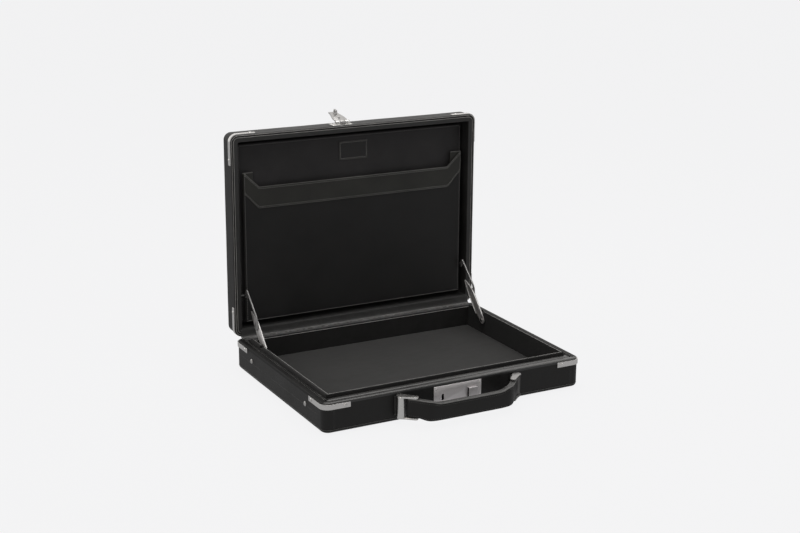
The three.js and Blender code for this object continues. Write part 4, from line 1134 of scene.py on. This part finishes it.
def section(h, z0, z1, n=9):
    """Half thickness h: upright strap section with softly rounded edges and slightly crowned faces."""
    pts = []
    r = min(2.3, h - 0.4)
    for cx, cz, a0 in ((h - r, z1 - r, 0), (-h + r, z1 - r, 90), (-h + r, z0 + r, 180), (h - r, z0 + r, 270)):
        for i in range(5):
            a = math.radians(a0 + 90 * i / 4)
            pts.append((cx + r * math.cos(a), cz + r * math.sin(a)))
        if a0 in (90, 270):
            s = -1 if a0 == 90 else 1
            for k in range(1, 8):
                zz = (z1 - r) + (z0 - z1 + 2 * r) * k / 8
                if a0 == 270:
                    zz = (z0 + r) + (z1 - z0 - 2 * r) * k / 8
                pts.append((s * (h + 0.35 * math.sin(math.pi * k / 8)), zz))
    return pts


ts = [0.0, 0.5, 1.2] + list(np.linspace(2.2, cum[-1] - 2.2, 96)) + [cum[-1] - 1.2, cum[-1] - 0.5, cum[-1]]
gl = []
for t in ts:
    x, y, a, z0, z1, h = station(t)
    e = min(t, cum[-1] - t)
    k = max(0, 1 - e / 1.6)
    ins = 1.3 * (1 - math.sqrt(max(0, 1 - k * k)))
    n = (-math.sin(a), math.cos(a))
    gl.append([(x + q_ * n[0], y + q_ * n[1], zz) for q_, zz in section(h - ins, z0 + ins, z1 - ins)])
v, f = skin(gl)
v = wavy(v, 0.12, 12, 2.2)
grip_o = build("grip_leather", v, f, "grip", "grip", ("handle_grip",), sharp=60)
# the grip's upward-facing faces take a paler leather: a painted highlight where the top catches the light
grip_o.data.materials.append(M["grip_top_lit"])
for p in grip_o.data.polygons:
    if p.normal.z > 0.55:
        p.material_index = 1
pip, st1, st2 = [], [], []
for t in np.linspace(1.5, cum[-1] - 1.5, 120):
    x, y, a, z0, z1, h = station(t)
    n = (-math.sin(a), math.cos(a))
    pip.append((x - (h - 0.5) * n[0], y - (h - 0.5) * n[1], z1 - 0.9))
    st1.append((x - (h + 0.12) * n[0], y - (h + 0.12) * n[1], z1 - 3.4))
    st2.append((x - (h + 0.12) * n[0], y - (h + 0.12) * n[1], z0 + 3.2))
V, F = tube(pip, 0.62, 10)
build("grip_piping", V, F, "grip", "piping", ())
st1 = [p for p in st1]
norm_at = lambda p: (0, -1, 0) if abs(p[0]) < 60 else ((-0.7, -0.71, 0) if p[0] < 0 else (0.7, -0.71, 0))
stitches("grip_stitches", [(st1, False), (st2, False)], "grip", norm_at, "thread_grip", 3.0, 2.1, 0.27, seed=8)

# --------------------------------------------------------------------- hardware
def place(me, mat4):
    me.transform(mat4)
    return me


# one slotted screw: shank, domed head and a milled slot
pr = [(0, -1.25), (1.05, -1.25), (1.05, 0.06), (2.42, 0.06), (2.5, 0.16), (2.46, 0.42), (2.2, 0.72), (1.7, 0.95), (1.0, 1.1), (0, 1.16)]
sv, sf = lathe(pr, 36)
screw_me = mesh_of(sv, sf)
cut_v = np.array([(x, y, z) for x in (-4, 4) for y in (-0.3, 0.3) for z in (0.62, 3)], float)
cut_f = [(0, 1, 3, 2), (4, 6, 7, 5), (0, 4, 5, 1), (2, 3, 7, 6), (0, 2, 6, 4), (1, 5, 7, 3)]
screw_me = boolean(screw_me, mesh_of(cut_v, cut_f))
turn = 0.3
for node in sorted(NODES):
    if "_screw_" not in node:
        continue
    lo, hi = nb(node)
    c = (lo + hi) / 2
    size = hi - lo
    ax = int(np.argmin(size))
    body = "base" if node.startswith("base") else "lid"
    out = 1 if c[ax] > (0 if ax != 2 else 100) else -1
    if ax == 1 and body == "lid":
        out = 1
    d = Vector([out if i == ax else 0 for i in range(3)])
    turn += 0.83
    me = screw_me.copy()
    me.transform(Matrix.Rotation(turn, 4, "Z"))
    me.transform(d.to_track_quat("Z", "Y").to_matrix().to_4x4())
    # the head's top sits 1.15 mm above its seat
    seat = [c[i] for i in range(3)]
    seat[ax] = (hi[ax] if out > 0 else lo[ax]) - out * 1.15
    me.transform(Matrix.Translation(seat))
    to_m(me)
    finish_mesh(node + "_v", me, body, "polished", (node,), sharp=30)

pr = [(0, 0.05), (3.5, 0.05), (3.6, 0.2), (3.5, 0.6), (3.1, 1.1), (2.4, 1.55), (1.4, 1.85), (0, 1.95)]
sv, sf = lathe(pr, 40)
for node in sorted(NODES):
    if node.startswith("side_stud"):
        lo, hi = nb(node)
        c = (lo + hi) / 2
        s = 1 if c[0] > 0 else -1
        me = mesh_of(sv, sf)
        me.transform(Vector((s, 0, 0)).to_track_quat("Z", "Y").to_matrix().to_4x4())
        me.transform(Matrix.Translation((s * W / 2, c[1], c[2])))
        finish_mesh(node + "_v", to_m(me), "base", "stud", (node,), sharp=50)

for node in sorted(NODES):
    if "_corner_" in node:
        refine(node, "base" if node.startswith("base") else "lid", "strap", 0.35, 3, 30)
for side in ("left", "right"):
    # the mounts use a dark copy of the nickel: painted shade on their sides
    refine(f"handle_mount_{side}", "base", "mount", 0.35, 3, 32)
    # painted shade: the right yoke is a darker copy of the yoke metal with its upright faces darker still, and the
    # left yoke's upright faces turned towards +x take the darker copy
    yk = refine(f"handle_yoke_{side}", f"yoke_{side}", "yoke_shaded" if side == "right" else "yoke", 0.4, 3, 32)
    yk.data.materials.append(M["mount" if side == "right" else "yoke_shaded"])
    for p in yk.data.polygons:
        if abs(p.normal.z) < 0.5 and (side == "right" or p.normal.x > 0.25):
            p.material_index = 1
    # the upper links use a darker copy of the stay metal: painted shade for the dark reflection on their faces
    refine(f"stay_upper_{side}", f"stay_upper_{side}", "stay_upper", 0.25, 2, 32)
    refine(f"stay_lower_{side}", f"stay_lower_{side}", "stay", 0.25, 2, 32)
    refine(f"stay_stud_base_{side}", "base", "polished", 0.2, 2, 40)
    refine(f"stay_stud_lid_{side}", "lid", "dark", 0.2, 2, 40)
P_, Q_ = np.array([c * 1000 for c in REC_J["stay_upper_right_pivot"]["pos_m"]][1:]), np.array([c * 1000 for c in REC_J["stay_lower_right_pivot"]["pos_m"]][1:])
du = (P_ - Q_) / np.linalg.norm(P_ - Q_)
dt = np.array([-du[1], du[0]])


def stay_pts(frm, sgn, pts):
    return [frm + sgn * du * s_ + dt * t_ for s_, t_ in pts]


# lips along the stays' edges: their brighter metal is a painted highlight on the lit edges
for side, sg in (("left", -1), ("right", 1)):
    xl = sg * nb(f"stay_lower_{side}")[0 if sg > 0 else 1][0] * sg
    face_l = sg * 179.15
    for nm, pts in (("back", [(16.5, -7.9), (28, -7.9), (40, -7.9), (58, -5.9), (72.4, -2.7)]),
                    ("front", [(8, 6.6), (14, 6.8), (39, 7.5), (50, 6.9), (61.6, 3.0)]),
                    ("end", [(61.6, 3.0), (73, -2.2)])):
        V, F = tube([(face_l, *p) for p in stay_pts(Q_, 1, pts)], 0.45, 8)
        build(f"stay_lower_{side}_{nm}_lip", V, F, f"stay_lower_{side}", "lip", (), sharp=80)
    face_u = sg * 181.0
    V, F = tube([(face_u, *p) for p in stay_pts(P_, -1, [(-2.4, 9.9), (6, 10.5), (24, 11.4), (42.6, 12.3)])], 0.55, 8)
    build(f"stay_upper_{side}_lip", V, F, f"stay_upper_{side}", "lip", (), sharp=80)
refine("lock_plate", "base", "lock", 0.4, 3, 30)
btn = refine("lock_button", "lock_button", "button", 0.5, 3, 30)
# the button's left and lower faces take dark steel: painted shade
btn.data.materials.append(M["dark"])
for p in btn.data.polygons:
    if p.normal.x < -0.8 or p.normal.z < -0.8:
        p.material_index = 1
for k, (x_, z_) in enumerate(((33.6, 34.6), (-33.6, 34.6), (33.6, 14.8), (-33.6, 14.8))):
    sv, sf = lathe([(0, 0.0), (1.25, 0.0), (1.25, 0.12), (0.95, 0.42), (0.5, 0.55), (0, 0.58)], 24)
    me = mesh_of(sv, sf)
    me.transform(Matrix.Rotation(math.radians(90), 4, "X"))
    me.transform(Matrix.Translation((x_, nb("lock_plate")[0][1] + 0.02, z_)))
    finish_mesh(f"lock_rivet_{k}", to_m(me), "base", "polished", (), sharp=50)
refine("hasp_base", "lid", "yoke", 0.3, 2, 32)
refine("hasp_leaf", "hasp", "hasp", 0.3, 2, 32)
for node, m_ in (("lock_case", "dark"), ("hinge_leaf_base", "hinge"), ("hinge_leaf_lid", "hinge"), ("hinge_pin", "polished"),
                 ("hasp_pin", "polished")):
    o = NODES[node]
    o.data.materials.clear()
    o.data.materials.append(M[m_])

# ------------------------------------------------------------- floor and lights
me = bpy.data.meshes.new("floor")
s = 6.0
me.from_pydata([(-s, -s, -0.0012), (s, -s, -0.0012), (s, s, -0.0012), (-s, s, -0.0012)], [], [(0, 1, 2, 3)])
floor = bpy.data.objects.new("floor", me)
bpy.context.scene.collection.objects.link(floor)
fm = bpy.data.materials.new("floor_paper")
fm.use_nodes = True
nt = fm.node_tree
nt.nodes.clear()
out = nt.nodes.new("ShaderNodeOutputMaterial")
mixn = nt.nodes.new("ShaderNodeMixShader")
em = nt.nodes.new("ShaderNodeEmission")
em.inputs[0].default_value = (0.908, 0.908, 0.916, 1)
df = nt.nodes.new("ShaderNodeBsdfDiffuse")
df.inputs[0].default_value = (0.9, 0.9, 0.9, 1)
mixn.inputs[0].default_value = 0.05
lpf = nt.nodes.new("ShaderNodeLightPath")
fmix = nt.nodes.new("ShaderNodeMapRange")
fmix.inputs[3].default_value = 0.42
fmix.inputs[4].default_value = 1.0
nt.links.new(lpf.outputs["Is Camera Ray"], fmix.inputs[0])
nt.links.new(fmix.outputs[0], em.inputs[1])
nt.links.new(em.outputs[0], mixn.inputs[1])
nt.links.new(df.outputs[0], mixn.inputs[2])
nt.links.new(mixn.outputs[0], out.inputs[0])
me.materials.append(fm)

world = bpy.data.worlds.new("studio")
bpy.context.scene.world = world
world.use_nodes = True
nt = world.node_tree
nt.nodes.clear()
out = nt.nodes.new("ShaderNodeOutputWorld")
mixw = nt.nodes.new("ShaderNodeMixShader")
lp_ = nt.nodes.new("ShaderNodeLightPath")
cam_bg = nt.nodes.new("ShaderNodeBackground")
cam_bg.inputs[0].default_value = (0.905, 0.905, 0.905, 1)
amb = nt.nodes.new("ShaderNodeBackground")
amb.inputs[0].default_value = (1.0, 0.985, 0.965, 1)
tcw = nt.nodes.new("ShaderNodeTexCoord")
sepw = nt.nodes.new("ShaderNodeSeparateXYZ")
mrw = nt.nodes.new("ShaderNodeMapRange")
mrw.interpolation_type = "SMOOTHSTEP"
nt.links.new(tcw.outputs["Generated"], sepw.inputs[0])
nt.links.new(sepw.outputs["Y"], mrw.inputs[0])
for k, c in enumerate((-0.25, 0.55, 0.24, 0.86)):
    mrw.inputs[1 + k].default_value = c
nt.links.new(mrw.outputs[0], amb.inputs[1])
nt.links.new(lp_.outputs["Is Camera Ray"], mixw.inputs[0])
nt.links.new(amb.outputs[0], mixw.inputs[1])
nt.links.new(cam_bg.outputs[0], mixw.inputs[2])
nt.links.new(mixw.outputs[0], out.inputs[0])


def area(name, loc, target, size, power, color=(1, 1, 1)):
    l = bpy.data.lights.new(name, "AREA")
    l.shape = "RECTANGLE"
    l.size, l.size_y = size
    l.energy = power
    l.color = color
    o = bpy.data.objects.new(name, l)
    bpy.context.scene.collection.objects.link(o)
    o.location = loc
    o.rotation_euler = (Vector(target) - Vector(loc)).to_track_quat("-Z", "Y").to_euler()
    return o


area("overhead", (0.15, -0.1, 1.7), (0, 0, 0.1), (1.6, 1.3), 14, (1, 0.99, 0.975))
area("front_left", (-1.6, -1.5, 0.9), (0, 0, 0.12), (0.9, 1.2), 3.2, (1, 0.93, 0.88))
area("front_right", (1.5, -1.4, 1.2), (0, 0, 0.12), (0.8, 1.0), 3.2, (0.98, 0.99, 1.0))

# ----------------------------------------------------------------------- camera
a, e, r = math.radians(-28.450), math.radians(17.837), math.radians(0.410)
ax_, ay_ = math.radians(0.197), math.radians(-1.930)
back_v = Vector((math.sin(a) * math.cos(e), -math.cos(a) * math.cos(e), math.sin(e)))
target = Vector((0, 1, 90)) * MM
eye = target + back_v * 2.11262
z = back_v
x = Vector((0, 0, 1)).cross(z).normalized()
y = z.cross(x)
xr = math.cos(r) * x + math.sin(r) * y
yr = -math.sin(r) * x + math.cos(r) * y
z2 = z * math.cos(ax_) + xr * math.sin(ax_)
x2 = xr * math.cos(ax_) - z * math.sin(ax_)
z3 = z2 * math.cos(ay_) + yr * math.sin(ay_)
y3 = yr * math.cos(ay_) - z2 * math.sin(ay_)
cam = bpy.data.cameras.new("camera")
cam.lens = 66.51
cam.sensor_width = 36
cam.clip_start, cam.clip_end = 0.05, 50
co = bpy.data.objects.new("camera", cam)
bpy.context.scene.collection.objects.link(co)
co.matrix_world = Matrix(((x2.x, y3.x, z3.x, eye.x), (x2.y, y3.y, z3.y, eye.y), (x2.z, y3.z, z3.z, eye.z), (0, 0, 0, 1)))
bpy.context.scene.camera = co
vs = bpy.context.scene.view_settings
vs.view_transform = "Standard"
vs.look = "None"
